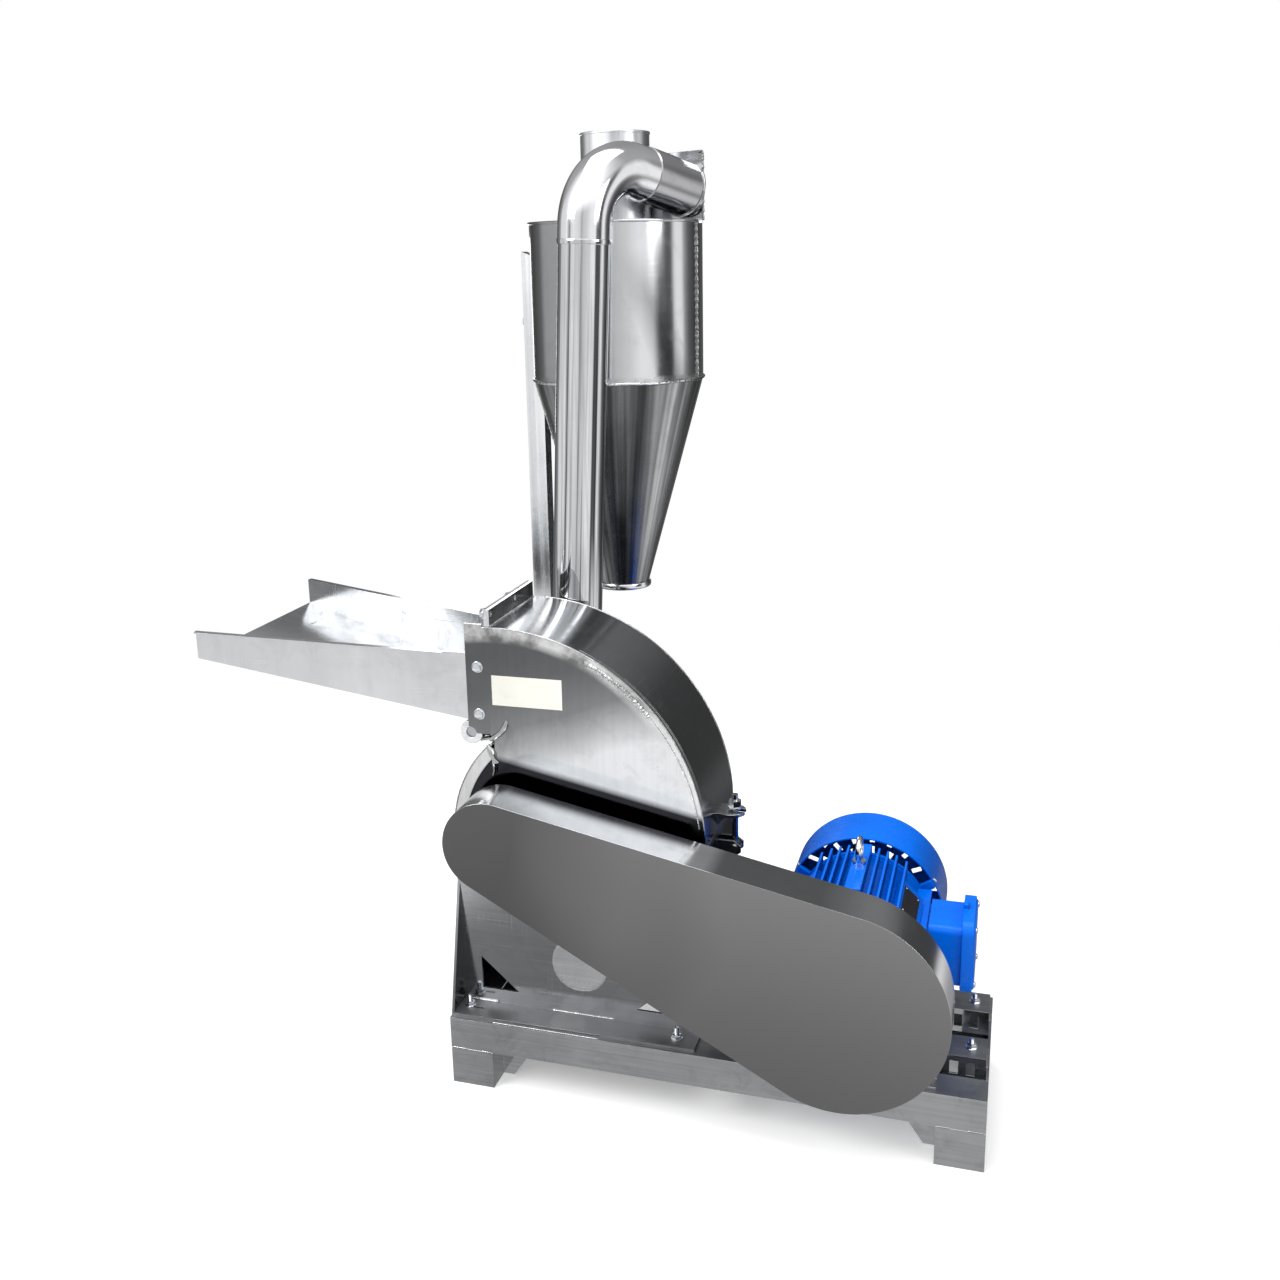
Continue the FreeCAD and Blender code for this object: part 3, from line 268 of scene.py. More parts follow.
# painted shadow and reflection: a near-black band along the plate just above the belt guard's top edge
gh = n.math("SUBTRACT", n.math("ADD", n.math("MULTIPLY", n.math("SUBTRACT", zz.outputs[0], -0.1174), 0.2011), n.math("MULTIPLY", n.math("SUBTRACT", zz.outputs[2], 0.4245), 0.9796)), 0.0701)
painted_guard_shadow = n.ramp(n.math("MULTIPLY", gh, 10.0), (0.20, 1.0), (0.31, 0.0))
n.col = n.mix(painted_guard_shadow, n.col, (0.03, 0.03, 0.035))
MAT["cover_plate"] = n.finish(0.8)
n = steel("housing_plate", (0.46, 0.46, 0.465), 0.30, (4, 4, 200), 0.10, 0.12, 0.6, 0.2, 0.14)
d, _ = n.length(*A_HOUSE)
_, rel = n.length(*A_HOUSE)
up = n.new("ShaderNodeSeparateXYZ")
n.put(up.inputs[0], rel)
upper = n.ramp(n.math("ADD", n.math("MULTIPLY", up.outputs[2], 20.0), 0.5), (0.3, 0.0), (0.8, 1.0))
band = n.math("MULTIPLY", n.ramp(n.math("DIVIDE", d, 0.197), (0.895, 0.0), (0.915, 1.0)), upper)
grind = n.noise(1.0, n.map((120, 120, 26), (0, 0.9, 0)), 3.0, 0.6)
n.col = n.mix(band, n.col, n.mix(grind, (0.66,) * 3, (0.97,) * 3))
n.rgh = n.lerp(band, n.rgh, n.math("ADD", 0.25, n.math("MULTIPLY", grind, 0.3)))
n.height(n.math("MULTIPLY", grind, band), 0.9)
nx = n.new("ShaderNodeSeparateXYZ")
n.put(nx.inputs[0], n.new("ShaderNodeTexCoord").outputs["Normal"])
# painted shade: faces turned along x are darkened hard, and upward faces are darkened as well
n.tint(n.ramp(n.math("ABSOLUTE", nx.outputs[0]), (0.6, 0.0), (0.9, 1.0)), 1.0, 0.25)
n.tint(n.ramp(nx.outputs[2], (0.7, 0.0), (0.95, 1.0)), 1.0, 0.62)
n.rgh = n.lerp(n.ramp(nx.outputs[2], (0.7, 0.0), (0.95, 1.0)), n.rgh, 0.5)
MAT["housing"] = n.finish(0.8)
n = steel("flange_painted_shade", (0.85, 0.85, 0.855), 0.25, (200, 3, 3), 0.06, 0.08, 0.35, 0.10, 0.08)
nx = n.new("ShaderNodeSeparateXYZ")
n.put(nx.inputs[0], n.new("ShaderNodeTexCoord").outputs["Normal"])
# painted shade: the flange face turned towards +x is darkened to near black, while the other faces and the top edge
# stay light
n.tint(n.ramp(nx.outputs[0], (0.5, 0.0), (0.9, 1.0)), 1.0, 0.10)
MAT["flange"] = n.finish(0.7)
MAT["strip"] = steel("cover_strip_sheet", (0.42, 0.42, 0.425), 0.27, (3, 240, 3), 0.06, 0.08, 0.35, 0.10, 0.08).finish(0.7)
n = steel("chute_sheet", (0.82, 0.82, 0.825), 0.36, (3, 180, 3), 0.06, 0.08, 0.5, 0.25, 0.10)
nx = n.new("ShaderNodeSeparateXYZ")
n.put(nx.inputs[0], n.new("ShaderNodeTexCoord").outputs["Normal"])
# painted light: upward faces are made lighter
n.tint(n.ramp(nx.outputs[2], (0.6, 0.0), (0.95, 1.0)), 1.0, 1.15)
cy = n.new("ShaderNodeSeparateXYZ")
n.put(cy.inputs[0], n.tc)
# painted shade: the sheet darkens towards the back (+y)
n.tint(n.ramp(n.math("MULTIPLY", n.math("ADD", cy.outputs[1], 0.25), 4.0), (0.12, 0.0), (0.6, 1.0)), 1.0, 0.48)
drag = n.ramp(n.noise(1.0, n.map((3, 26, 3)), 3.0, 0.6), (0.4, 0.0), (0.62, 1.0))
n.tint(drag, 1.0, 0.90)
MAT["chute"] = n.finish(0.7)
n = steel("post_sheet", (0.95, 0.95, 0.955), 0.40, (90, 90, 1.5), 0.35, 0.08, 0.5, 0.2, 0.10)
nx = n.new("ShaderNodeSeparateXYZ")
n.put(nx.inputs[0], n.new("ShaderNodeTexCoord").outputs["Normal"])
# painted shade: faces turned towards +x are darkened
n.tint(n.ramp(nx.outputs[0], (0.5, 0.0), (0.9, 1.0)), 1.0, 0.45)
MAT["post"] = n.finish(0.7)
MAT["disc"] = steel("disc_sheet", (0.97, 0.97, 0.975), 0.42, (3, 3, 200), 0.08, 0.12, 0.5, 0.2, 0.1).finish(0.7)
n = steel("frame_sheet", (0.92, 0.92, 0.925), 0.36, (3, 60, 260), 0.18, 0.16, 0.5, 0.4, 0.2)
nx = n.new("ShaderNodeSeparateXYZ")
n.put(nx.inputs[0], n.new("ShaderNodeTexCoord").outputs["Normal"])
# painted shade: upward and downward faces are darkened hard, faces turned along x a little
n.tint(n.ramp(n.math("ABSOLUTE", nx.outputs[2]), (0.6, 0.0), (0.9, 1.0)), 1.0, 0.27)
n.tint(n.ramp(n.math("ABSOLUTE", nx.outputs[0]), (0.6, 0.0), (0.9, 1.0)), 1.0, 0.7)
n.rgh = n.lerp(n.ramp(n.math("ABSOLUTE", nx.outputs[2]), (0.6, 0.0), (0.9, 1.0)), n.rgh, 0.55)
MAT["frame"] = n.finish(0.9)
n = steel("rolled_tube", (0.78, 0.78, 0.785), 0.10, (150, 150, 1.2), 0.3, 0.05, 0.35, 0.06, 0.05)
ds = n.new("ShaderNodeSeparateXYZ")
n.put(ds.inputs[0], n.tc)
# painted reflection: dark streaks along the duct, spread round its axis by angle and strongest low down
dx = n.math("SUBTRACT", ds.outputs[0], n.math("ADD", n.math("MULTIPLY", n.math("SUBTRACT", ds.outputs[2], 0.56), 0.0488), -0.0907))
th = n.math("ARCTAN2", n.math("SUBTRACT", ds.outputs[1], 0.00265), dx)
dv = n.new("ShaderNodeCombineXYZ")
n.put(dv.inputs[0], n.math("MULTIPLY", th, 8.0))
n.put(dv.inputs[1], n.math("MULTIPLY", ds.outputs[2], 0.8))
painted_reflection_lines = n.ramp(n.noise(1.0, dv.outputs[0], 3.0, 0.7), (0.53, 0.0), (0.585, 1.0))
lowz = n.ramp(ds.outputs[2], (0.6, 1.0), (1.2, 0.35))
n.tint(n.math("MULTIPLY", painted_reflection_lines, lowz), 1.0, 0.22)
MAT["mirror"] = n.finish(0.9)
MAT["pipe"] = steel("pressed_pipe", (0.50, 0.49, 0.50), 0.20, (20, 20, 20), 0.05, 0.06, 0.6, 0.06, 0.05).finish(0.7)
MAT["elbow"] = steel("pressed_elbow", (0.90, 0.885, 0.895), 0.17, (20, 20, 20), 0.05, 0.06, 0.6, 0.06, 0.05).finish(0.7)
n = steel("cyclone_sheet", (0.78, 0.78, 0.785), 0.21, (60, 60, 3), 0.06, 0.07, 0.8, 0.08, 0.06)
up = n.new("ShaderNodeSeparateXYZ")
n.put(up.inputs[0], n.tc)
dz = n.math("ABSOLUTE", n.math("SUBTRACT", up.outputs[2], 1.052))
bt = n.math("MULTIPLY", n.ramp(n.math("DIVIDE", dz, 0.012), (0.2, 1.0), (1.0, 0.0)), n.ramp(n.noise(45.0, None, 4.0), (0.4, 0.2), (0.6, 1.0)))
n.col = n.mix(bt, n.col, n.mix(n.noise(160.0), (0.25,) * 3, (0.8,) * 3))
n.rgh = n.lerp(bt, n.rgh, 0.45)
n.height(n.math("MULTIPLY", n.noise(160.0, None, 3.0), bt), 0.7)
# painted shade: the sheet above z 1.30 m and right of x 0.035 m is darkened
painted_roof_shade = n.math("MULTIPLY", n.ramp(n.math("MULTIPLY", n.math("SUBTRACT", up.outputs[2], 1.30), 10.0), (0.02, 0.0), (0.06, 1.0)),
            n.ramp(n.math("MULTIPLY", n.math("SUBTRACT", up.outputs[0], 0.035), 10.0), (0.0, 0.0), (0.1, 1.0)))
n.tint(painted_roof_shade, 1.0, 0.42)
# painted light: brightness set by angle round the cyclone's axis, darker on the left side and full from the front round
# to the right
_, rel = n.length(*A_CYC)
cs = n.new("ShaderNodeSeparateXYZ")
n.put(cs.inputs[0], rel)
turn = n.math("ADD", n.math("DIVIDE", n.math("ARCTAN2", cs.outputs[1], cs.outputs[0]), 2 * math.pi), 0.5)
n.col = n.mix(1.0, n.col, n.ramp(turn, (0.0, 0.55), (0.10, 0.42), (0.19, 0.5), (0.24, 1.0)), "MULTIPLY")
# painted reflection: a dark diagonal streak across the front-right of the cylinder, fading out towards the top
painted_streak_slant = n.math("ABSOLUTE", n.math("SUBTRACT", n.math("ADD", turn, n.math("MULTIPLY", n.math("SUBTRACT", up.outputs[2], 1.235), 0.415)), 0.335))
painted_streak_fade = n.ramp(n.math("MULTIPLY", n.math("SUBTRACT", up.outputs[2], 1.06), 5.0), (0.0, 1.0), (0.6, 0.8), (1.0, 0.0))
n.tint(n.math("MULTIPLY", n.ramp(n.math("MULTIPLY", painted_streak_slant, 10.0), (0.05, 1.0), (0.42, 0.0)), painted_streak_fade), 1.0, 0.42)
MAT["cyclone"] = n.finish(0.7)
MAT["stub"] = steel("outlet_sheet", (0.74, 0.74, 0.745), 0.38, (90, 90, 2), 0.25, 0.07, 0.8, 0.08, 0.06).finish(0.7)
n = steel("cone_sheet", (0.90, 0.90, 0.905), 0.33, (60, 60, 2), 0.2, 0.10, 0.8, 0.08, 0.06)
_, rel = n.length(*A_CYC)
cs = n.new("ShaderNodeSeparateXYZ")
n.put(cs.inputs[0], rel)
th = n.math("ARCTAN2", cs.outputs[1], cs.outputs[0])
cv = n.new("ShaderNodeCombineXYZ")
n.put(cv.inputs[0], n.math("MULTIPLY", th, 2.6))
n.put(cv.inputs[1], n.math("MULTIPLY", cs.outputs[2], 0.5))
# painted reflection: streaks spread round the cone by angle
painted_reflection_streaks = n.noise(2.1, cv.outputs[0], 3.0, 0.6)
n.tint(n.ramp(painted_reflection_streaks, (0.40, 0.0), (0.60, 1.0)), 0.42, 1.25)
# painted light: a set brightness for each angle round the cone's axis, darkest towards the front-right
turn = n.math("ADD", n.math("DIVIDE", th, 2 * math.pi), 0.5)
n.col = n.mix(1.0, n.col, n.ramp(turn, (0.0, 0.5), (0.10, 0.42), (0.22, 0.36), (0.29, 0.20), (0.345, 0.13), (0.385, 0.40), (0.415, 0.65), (0.45, 0.62), (0.475, 0.35), (0.51, 0.75), (0.6, 0.5)), "MULTIPLY")
MAT["cone"] = n.finish(0.8)
MAT["machined"] = steel("turned_steel", (0.48, 0.48, 0.49), 0.26, (4, 500, 4), 0.16, 0.06, 0.1, 0.15, 0.12).finish(0.8)
MAT["dark_steel"] = steel("worn_steel", (0.30, 0.29, 0.285), 0.42, (4, 60, 60), 0.2, 0.2, 0.5, 0.4, 0.25).finish(0.9)
MAT["zinc"] = steel("zinc_plate", (0.78, 0.79, 0.81), 0.20, (60, 60, 60), 0.10, 0.08, 0.1, 0.1, 0.1).finish(0.6)
MAT["weld"] = steel("weld_bead", (0.62, 0.61, 0.60), 0.30, (90, 90, 90), 0.35, 0.2, 0.8, 0.2, 0.3).finish(1.0)


def paint(name, base, rough, coat, bumpy, wear=0.0):
    n = Net(name, base, rough, 0.0)
    c = n.noise(7.0, None, 3.0, 0.6)
    n.tint(n.ramp(c, (0.3, 0.0), (0.7, 1.0)), 0.86, 1.12)
    n.rough_add(n.noise(60.0, None, 3.0), 0.12)
    dust = n.ramp(n.noise(26.0, None, 5.0, 0.7), (0.55, 0.0), (0.75, 1.0))
    n.tint(dust, 1.0, 0.9)
    n.rough_add(dust, 0.15)
    n.height(n.noise(170.0, None, 2.0), bumpy)
    n.height(n.noise(28.0, None, 1.0), bumpy * 2)
    if wear:
        w = n.ramp(n.noise(90.0, None, 4.0, 0.7), (0.68, 0.0), (0.72, 1.0))
        n.col = n.mix(n.math("MULTIPLY", w, wear), n.col, (0.3, 0.3, 0.3))
    n.p.inputs["Coat Weight"].default_value = coat
    n.p.inputs["Coat Roughness"].default_value = 0.12
    n.p.inputs["Specular IOR Level"].default_value = 0.14
    return n


n = paint("motor_enamel", (0.0, 0.16, 0.86), 0.34, 0.04, 0.10)
nx = n.new("ShaderNodeSeparateXYZ")
n.put(nx.inputs[0], n.new("ShaderNodeTexCoord").outputs["Normal"])
# painted shade and light: faces turned towards +x are darkened, upward faces lighter than the rest
n.tint(n.ramp(nx.outputs[0], (0.55, 0.0), (0.95, 1.0)), 1.0, 0.45)
n.tint(n.ramp(nx.outputs[2], (0.2, 0.0), (0.9, 1.0)), 0.82, 1.0)
MAT["blue"] = n.finish(0.8)
MAT["black"] = paint("black_plate", (0.02, 0.02, 0.022), 0.4, 0.2, 0.05).finish(0.5)
MAT["cast"] = paint("painted_casting", (0.055, 0.06, 0.065), 0.5, 0.1, 0.35, 0.5).finish(1.0)
MAT["plastic"] = paint("moulded_black", (0.022, 0.022, 0.024), 0.45, 0.0, 0.2).finish(0.7)
MAT["label"] = paint("label_vinyl", (0.78, 0.77, 0.70), 0.35, 0.3, 0.04).finish(0.4)
n = Net("belt_rubber", (0.03, 0.03, 0.032), 0.75, 0.0)
wv = n.noise(1.0, n.map((900, 900, 900)), 1.0)
n.tint(wv, 0.7, 1.4)
n.rough_add(n.noise(40.0), 0.2)
n.height(wv, 0.3)
MAT["rubber"] = n.finish(0.8)

NODE_MAT = {
    "frame": "frame", "motor_rails": "frame", "housing_front_plate": "housing", "housing_rear_plate": "housing", "housing_side_walls": "housing",
    "clasp_pin": "zinc", "chamber_trough": "dark_steel", "plenum_partition": "dark_steel", "sizing_screen": "dark_steel", "blank_disc": "disc",
    "hinge_barrel": "frame", "hinge_pin": "machined", "cover_front_plate": "cover_plate", "cover_rear_plate": "cover_plate", "hinge_rings": "frame",
    "cover_strip": "strip", "mouth_flange": "flange", "feed_baffle": "frame", "blank_label_plate": "label", "feed_chute": "chute", "cover_bolts": "zinc",
    "eye_bolt": "machined", "clasp_nut": "zinc", "main_shaft": "machined", "rotor_discs": "dark_steel", "hammer_pins": "machined",
    "hammers_row_1": "dark_steel", "hammers_row_2": "dark_steel", "hammers_row_3": "dark_steel", "hammers_row_4": "dark_steel",
    "rotor_pulley": "cast", "fan_impeller": "frame", "shaft_bearings": "cast", "fan_casing": "housing", "duct_pipe": "mirror", "duct_elbow": "elbow",
    "inlet_pipe": "pipe", "cyclone_body": "cyclone", "cyclone_cone": "cone", "outlet_stub": "stub", "support_post": "post", "post_outrigger": "frame",
    "motor_frame": "blue", "motor_end_shields": "blue", "motor_shaft": "machined", "motor_pulley": "cast", "cooling_fan": "plastic", "motor_cowl": "blue",
    "terminal_box": "blue", "terminal_lid": "blue", "lifting_eye": "zinc", "motor_blank_plate": "black", "motor_foot_bolts": "zinc", "drive_belts": "rubber",
    "belt_guard": "guard", "guard_brackets": "frame", "assembly_bolts": "zinc"}


def mat_of(name):
    return MAT[NODE_MAT.get(name) or NODE_MAT["frame"]]


# ------------------------------------------------------------------ mesh helpers
def add_object(name, me, mat, body, smooth=35):
    me.materials.clear()
    me.materials.append(mat)
    for p in me.polygons:
        p.use_smooth = True
    me.set_sharp_from_angle(angle=math.radians(smooth))
    o = bpy.data.objects.new(name, me)
    bpy.context.scene.collection.objects.link(o)
    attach(o, body)
    return o


# which CAD shells get rolled or ground edges, and how wide (mm)
EDGES = {
    "belt_guard": 2.0, "cover_front_plate": 0.7, "cover_rear_plate": 0.7, "cover_strip": 0.5, "mouth_flange": 0.6, "feed_baffle": 0.6, "feed_chute": 0.5,
    "housing_front_plate": 0.7, "housing_rear_plate": 0.7, "housing_side_walls": 0.6, "frame_front_beam": 1.2, "frame_rear_beam": 1.2,
    "frame_cross_members": 0.8, "frame_legs": 0.8, "motor_rails": 0.8, "hinge_rings": 0.8, "hinge_barrel": 0.8,
    "motor_frame": 0.8, "motor_end_shields": 1.0, "terminal_box": 1.4, "terminal_lid": 1.6, "motor_cowl": 0.6, "guard_brackets": 0.6,
    "shaft_bearings": 1.4, "fan_casing": 0.6, "support_post": 0.7, "post_outrigger": 0.7, "cyclone_body": 0.5, "outlet_stub": 0.6, "hammers_row_1": 0.8,
    "hammers_row_2": 0.8, "hammers_row_3": 0.8, "hammers_row_4": 0.8, "rotor_discs": 0.6, "rotor_pulley": 0.6, "motor_pulley": 0.8, "eye_bolt": 0.5,
    "blank_label_plate": 0.3, "motor_blank_plate": 0.3, "lifting_eye": 0.4}


def refine(name, width):
    # same shell as the CAD node, its edges rounded as bent and ground sheet is
    bm = bmesh.new()
    bm.from_mesh(frame["nodes"][name].data)
    bmesh.ops.remove_doubles(bm, verts=bm.verts, dist=2e-6)
    bmesh.ops.dissolve_limit(bm, angle_limit=math.radians(0.4), verts=bm.verts, edges=bm.edges)
    me = bpy.data.meshes.new("shell_" + name)
    bm.to_mesh(me)
    bm.free()
    for a in ("custom_normal",):
        if a in me.attributes:
            me.attributes.remove(me.attributes[a])
    o = add_object("shell_" + name, me, mat_of(name), BODY[name])
    b = o.modifiers.new("edge", "BEVEL")
    b.width = width / 1000.0
    b.segments = 2
    b.limit_method = "ANGLE"
    b.angle_limit = math.radians(32)
    b.use_clamp_overlap = True
    b.harden_normals = True
    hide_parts(name)
    return o


for _n, _w in EDGES.items():
    refine(_n, _w)
for _n, _o in frame["nodes"].items():
    _m = mat_of(_n)
    if _o.type == "MESH":
        if not _o.material_slots:
            _o.data.materials.append(None)
        for _s in _o.material_slots:
            _s.link = "OBJECT"
            _s.material = _m


def tube(path, radius, sides=8, closed=False, ripple=0.0, pitch=0.0, seed=1):
    # tube along 3D points (metres); a rippled one looks like a weld bead
    rnd = random.Random(seed)
    bm = bmesh.new()
    rings = []
    n = len(path)
    dist = 0.0
    for i, p in enumerate(path):
        a = path[(i - 1) % n] if closed or i > 0 else p
        b = path[(i + 1) % n] if closed or i < n - 1 else p
        t = (b - a).normalized()
        u = t.cross(Vector((0, 0, 1)))
        if u.length < 0.1:
            u = t.cross(Vector((0, 1, 0)))
        u.normalize()
        w = t.cross(u)
        if i:
            dist += (p - path[i - 1]).length
        r = radius
        if ripple:
            ph = (dist / pitch) % 1.0
            r = radius * (1.0 + ripple * (1.0 - ph) + ripple * 0.5 * (rnd.random() - 0.5))
        if not closed and i in (0, n - 1):
            r *= 0.55
        rings.append([bm.verts.new(p + (u * math.cos(2 * math.pi * k / sides) + w * math.sin(2 * math.pi * k / sides)) * r) for k in range(sides)])
    m = n if closed else n - 1
    for i in range(m):
        q, s = rings[i], rings[(i + 1) % n]
        for k in range(sides):
            bm.faces.new((q[k], q[(k + 1) % sides], s[(k + 1) % sides], s[k]))
    if not closed:
        bm.faces.new(list(reversed(rings[0])))
        bm.faces.new(rings[-1])
    bmesh.ops.recalc_face_normals(bm, faces=bm.faces)
    me = bpy.data.meshes.new("tube")
    bm.to_mesh(me)
    bm.free()
    return me


def arc_pts(cx, cz, r, a0, a1, y, step=1.2):
    n = max(2, int(abs(math.radians(a1 - a0)) * r / step))
    return [W(cx + r * math.cos(math.radians(a0 + (a1 - a0) * i / n)), y, cz + r * math.sin(math.radians(a0 + (a1 - a0) * i / n))) for i in range(n + 1)]


def line_pts(p, q, step=1.2):
    n = max(2, int(math.dist(p, q) / step))
    return [W(*[a + (b - a) * i / n for a, b in zip(p, q)]) for i in range(n + 1)]


def bead(name, pts, r, body="root", mat="weld", ripple=0.35, pitch=0.0035, seed=1):
    return add_object(name, tube(pts, r / 1000.0, 8, False, ripple, pitch, seed), MAT[mat], body, 60)


# welds of the cover: rippled bead under the arc's edge, fine line along the rest
bead("weld_cover_arc", arc_pts(78, 411, 307.0, 63, 40, 55.2, 0.9), 2.7, "cover", ripple=0.8, pitch=0.0055)
bead("weld_cover_arc_low", arc_pts(78, 411, 308.5, 40, 6, 55.2, 1.2), 1.3, "cover", ripple=0.4, pitch=0.004, seed=3)
bead("weld_cover_corner", arc_pts(78, 411, 315.6, 88, 4, 55.6, 1.6), 0.9, "cover", ripple=0.25, pitch=0.003, seed=4)
bead("weld_cover_corner_rear", arc_pts(78, 411, 315.6, 88, 4, 248.4, 1.6), 0.9, "cover", ripple=0.25, pitch=0.003, seed=5)
bead("lap_line_front", arc_pts(78, 411, 316.1, 66, 12, 64.5, 2.0), 0.55, "cover", ripple=0.0, mat="dark_steel")
bead("lap_line_second", arc_pts(78, 411, 316.1, 52, 10, 68.5, 2.0), 0.5, "cover", ripple=0.0, mat="dark_steel")
# housing: bead on the band's edge and at the foot flange
bead("weld_band_outer", arc_pts(197, 400, 196.4, 180, 132, 55.4, 1.4), 1.1, seed=6)
bead("weld_band_outer_rear", arc_pts(197, 400, 196.4, 180, 132, 248.6, 1.4), 1.1, seed=7)
bead("weld_foot_left", line_pts((6, 54, 116.6), (60, 54, 116.6)), 1.5, seed=8)
bead("weld_foot_mid", line_pts((150, 54.4, 116.4), (250, 54.4, 116.4)), 1.2, seed=9)
bead("weld_beam_mid", line_pts((70, 3.0, 112.3), (240, 3.0, 112.3)), 0.9, seed=10)
bead("weld_flange_side", line_pts((2, 54.5, 120), (2, 54.5, 312)), 1.0, mat="dark_steel", seed=11)
bead("weld_hinge_a", [W(66, 54.9, 553), W(71, 54.3, 556), W(77, 54.0, 560), W(83, 54.0, 565), W(88, 54.4, 571), W(92, 54.8, 578), W(94, 55.4, 586)], 4.2, "cover", ripple=0.2, seed=12)
bead("weld_hinge_b", [W(62, 55.0, 545), W(66, 54.6, 538), W(70, 54.4, 529), W(73, 54.6, 518), W(72, 55.2, 506), W(69, 55.6, 497)], 4.6, ripple=0.3, seed=13)
bead("weld_hinge_c", line_pts((40, 76, 544.5), (64, 76, 549.5)), 2.0, seed=14)
for i, (x0, x1) in enumerate(((3, 26), (50, 66), (734, 752), (776, 797))):
    bead("weld_leg_front_%d" % i, line_pts((x0, 1.0, 60.6), (x1, 1.0, 60.6)), 1.3, seed=20 + i)
for i, (p, q) in enumerate((((796.5, 80, 112), (796.5, 128, 112)), ((796.5, 206, 112), (796.5, 254, 112)), ((441, 78, 89.5), (478, 78, 89.5)), ((441, 204, 89.5), (478, 204, 89.5)))):
    bead("weld_rail_%d" % i, line_pts(p, q), 1.6, seed=30 + i)
# cover to mouth flange, post
bead("weld_mouth", line_pts((71.6, 60, 727.6), (71.6, 244, 727.6)), 1.4, "cover", seed=36)
bead("weld_post_a", line_pts((9.5, 501, 1060), (9.5, 501, 1240)), 1.5, seed=37)

# cyclone: helical rolled rim, seam ring to the cone, upright seam, ring at the spout
HEIGHTS = [(-40, 1409.5), (-20, 1408.5), (0, 1407), (20, 1403), (45, 1393), (70, 1378), (90, 1358), (110, 1336), (135, 1314), (160, 1306.5),
           (180, 1305), (220, 1304), (250, 1303.5), (270, 1303), (300, 1302.5), (330, 1302), (360, 1301.5), (400, 1301), (440, 1300)]


def roof_z(a):
    def f(a):
        for (a0, h0), (a1, h1) in zip(HEIGHTS, HEIGHTS[1:]):
            if a0 <= a <= a1:
                return h0 + (h1 - h0) * (a - a0) / (a1 - a0)
        return HEIGHTS[0][1] if a < HEIGHTS[0][0] else HEIGHTS[-1][1]
    return (f(a - 4) + f(a + 4)) / 2


rim = [W(149 + 142.6 * math.cos(math.radians(a)), 484 + 142.6 * math.sin(math.radians(a)), roof_z(a) - 0.2) for a in [-4 + 358 * i / 260 for i in range(261)]]
add_object("roof_rim", tube(rim, 0.0023, 8, False, 0.10, 0.006, 2), MAT["cyclone"], "root", 60)
seam = [W(149 + 142.3 * math.cos(a), 484 + 142.3 * math.sin(a), 1052 + 0.6 * math.sin(9 * a)) for a in [2 * math.pi * i / 420 for i in range(420)]]
add_object("cone_seam", tube(seam, 0.0021, 8, True, 0.45, 0.005, 4), MAT["weld"], "root", 60)
a8 = math.radians(-8)
bead("cylinder_seam", [W(149 + 142.3 * math.cos(a8) + 0.4 * math.sin(z / 11.0), 484 + 142.3 * math.sin(a8), z) for z in range(1054, 1302, 2)], 2.0, mat="dark_steel", ripple=0.9, pitch=0.011, seed=41)
edge = max((v.co for v in frame["nodes"]["cyclone_body"].data.vertices if v.co.z > 1.404), key=lambda c: c.x)
bead("plate_edge", [Vector((edge.x, edge.y, 1.302 + 0.0013 * i)) for i in range(82)], 1.4, mat="dark_steel", ripple=0.8, pitch=0.013, seed=43)
bead("cone_upright_seam", [W(149 + (45 + 97 * t) * math.cos(math.radians(-150)), 484 + (45 + 97 * t) * math.sin(math.radians(-150)), 702 + 348 * t) for t in [i / 150 for i in range(151)]], 1.2, seed=42)


def lathe(name, prof, c, d, mat, body, seg=64, smooth=40):
    # profile of (radius, distance along d) in mm, turned about d through c
    d = Vector(d).normalized()
    u = d.cross(Vector((0, 0, 1)))
    if u.length < 0.1:
        u = d.cross(Vector((0, 1, 0)))
    u.normalize()
    w = d.cross(u)
    bm = bmesh.new()
    rings = []
    for r, h in prof:
        rings.append([bm.verts.new(W(*(Vector(c) + d * h + (u * math.cos(2 * math.pi * k / seg) + w * math.sin(2 * math.pi * k / seg)) * r))) for k in range(seg)])
    for q, s in zip(rings, rings[1:] + rings[:1]):
        for k in range(seg):
            bm.faces.new((q[k], q[(k + 1) % seg], s[(k + 1) % seg], s[k]))
    bmesh.ops.recalc_face_normals(bm, faces=bm.faces)
    me = bpy.data.meshes.new(name)
    bm.to_mesh(me)
    bm.free()
    return add_object(name, me, MAT[mat], body, smooth)


def round_ring(r, h0, h1, t, k=0.8):
    # closed section of a thin ring with rounded corners
    return [(r, h0 + k), (r, h1 - k), (r + k * 0.3, h1 - k * 0.3), (r + k, h1), (r + t - k, h1), (r + t - k * 0.3, h1 - k * 0.3), (r + t, h1 - k), (r + t, h0 + k),
            (r + t - k * 0.3, h0 + k * 0.3), (r + t - k, h0), (r + k, h0), (r + k * 0.3, h0 + k * 0.3)]


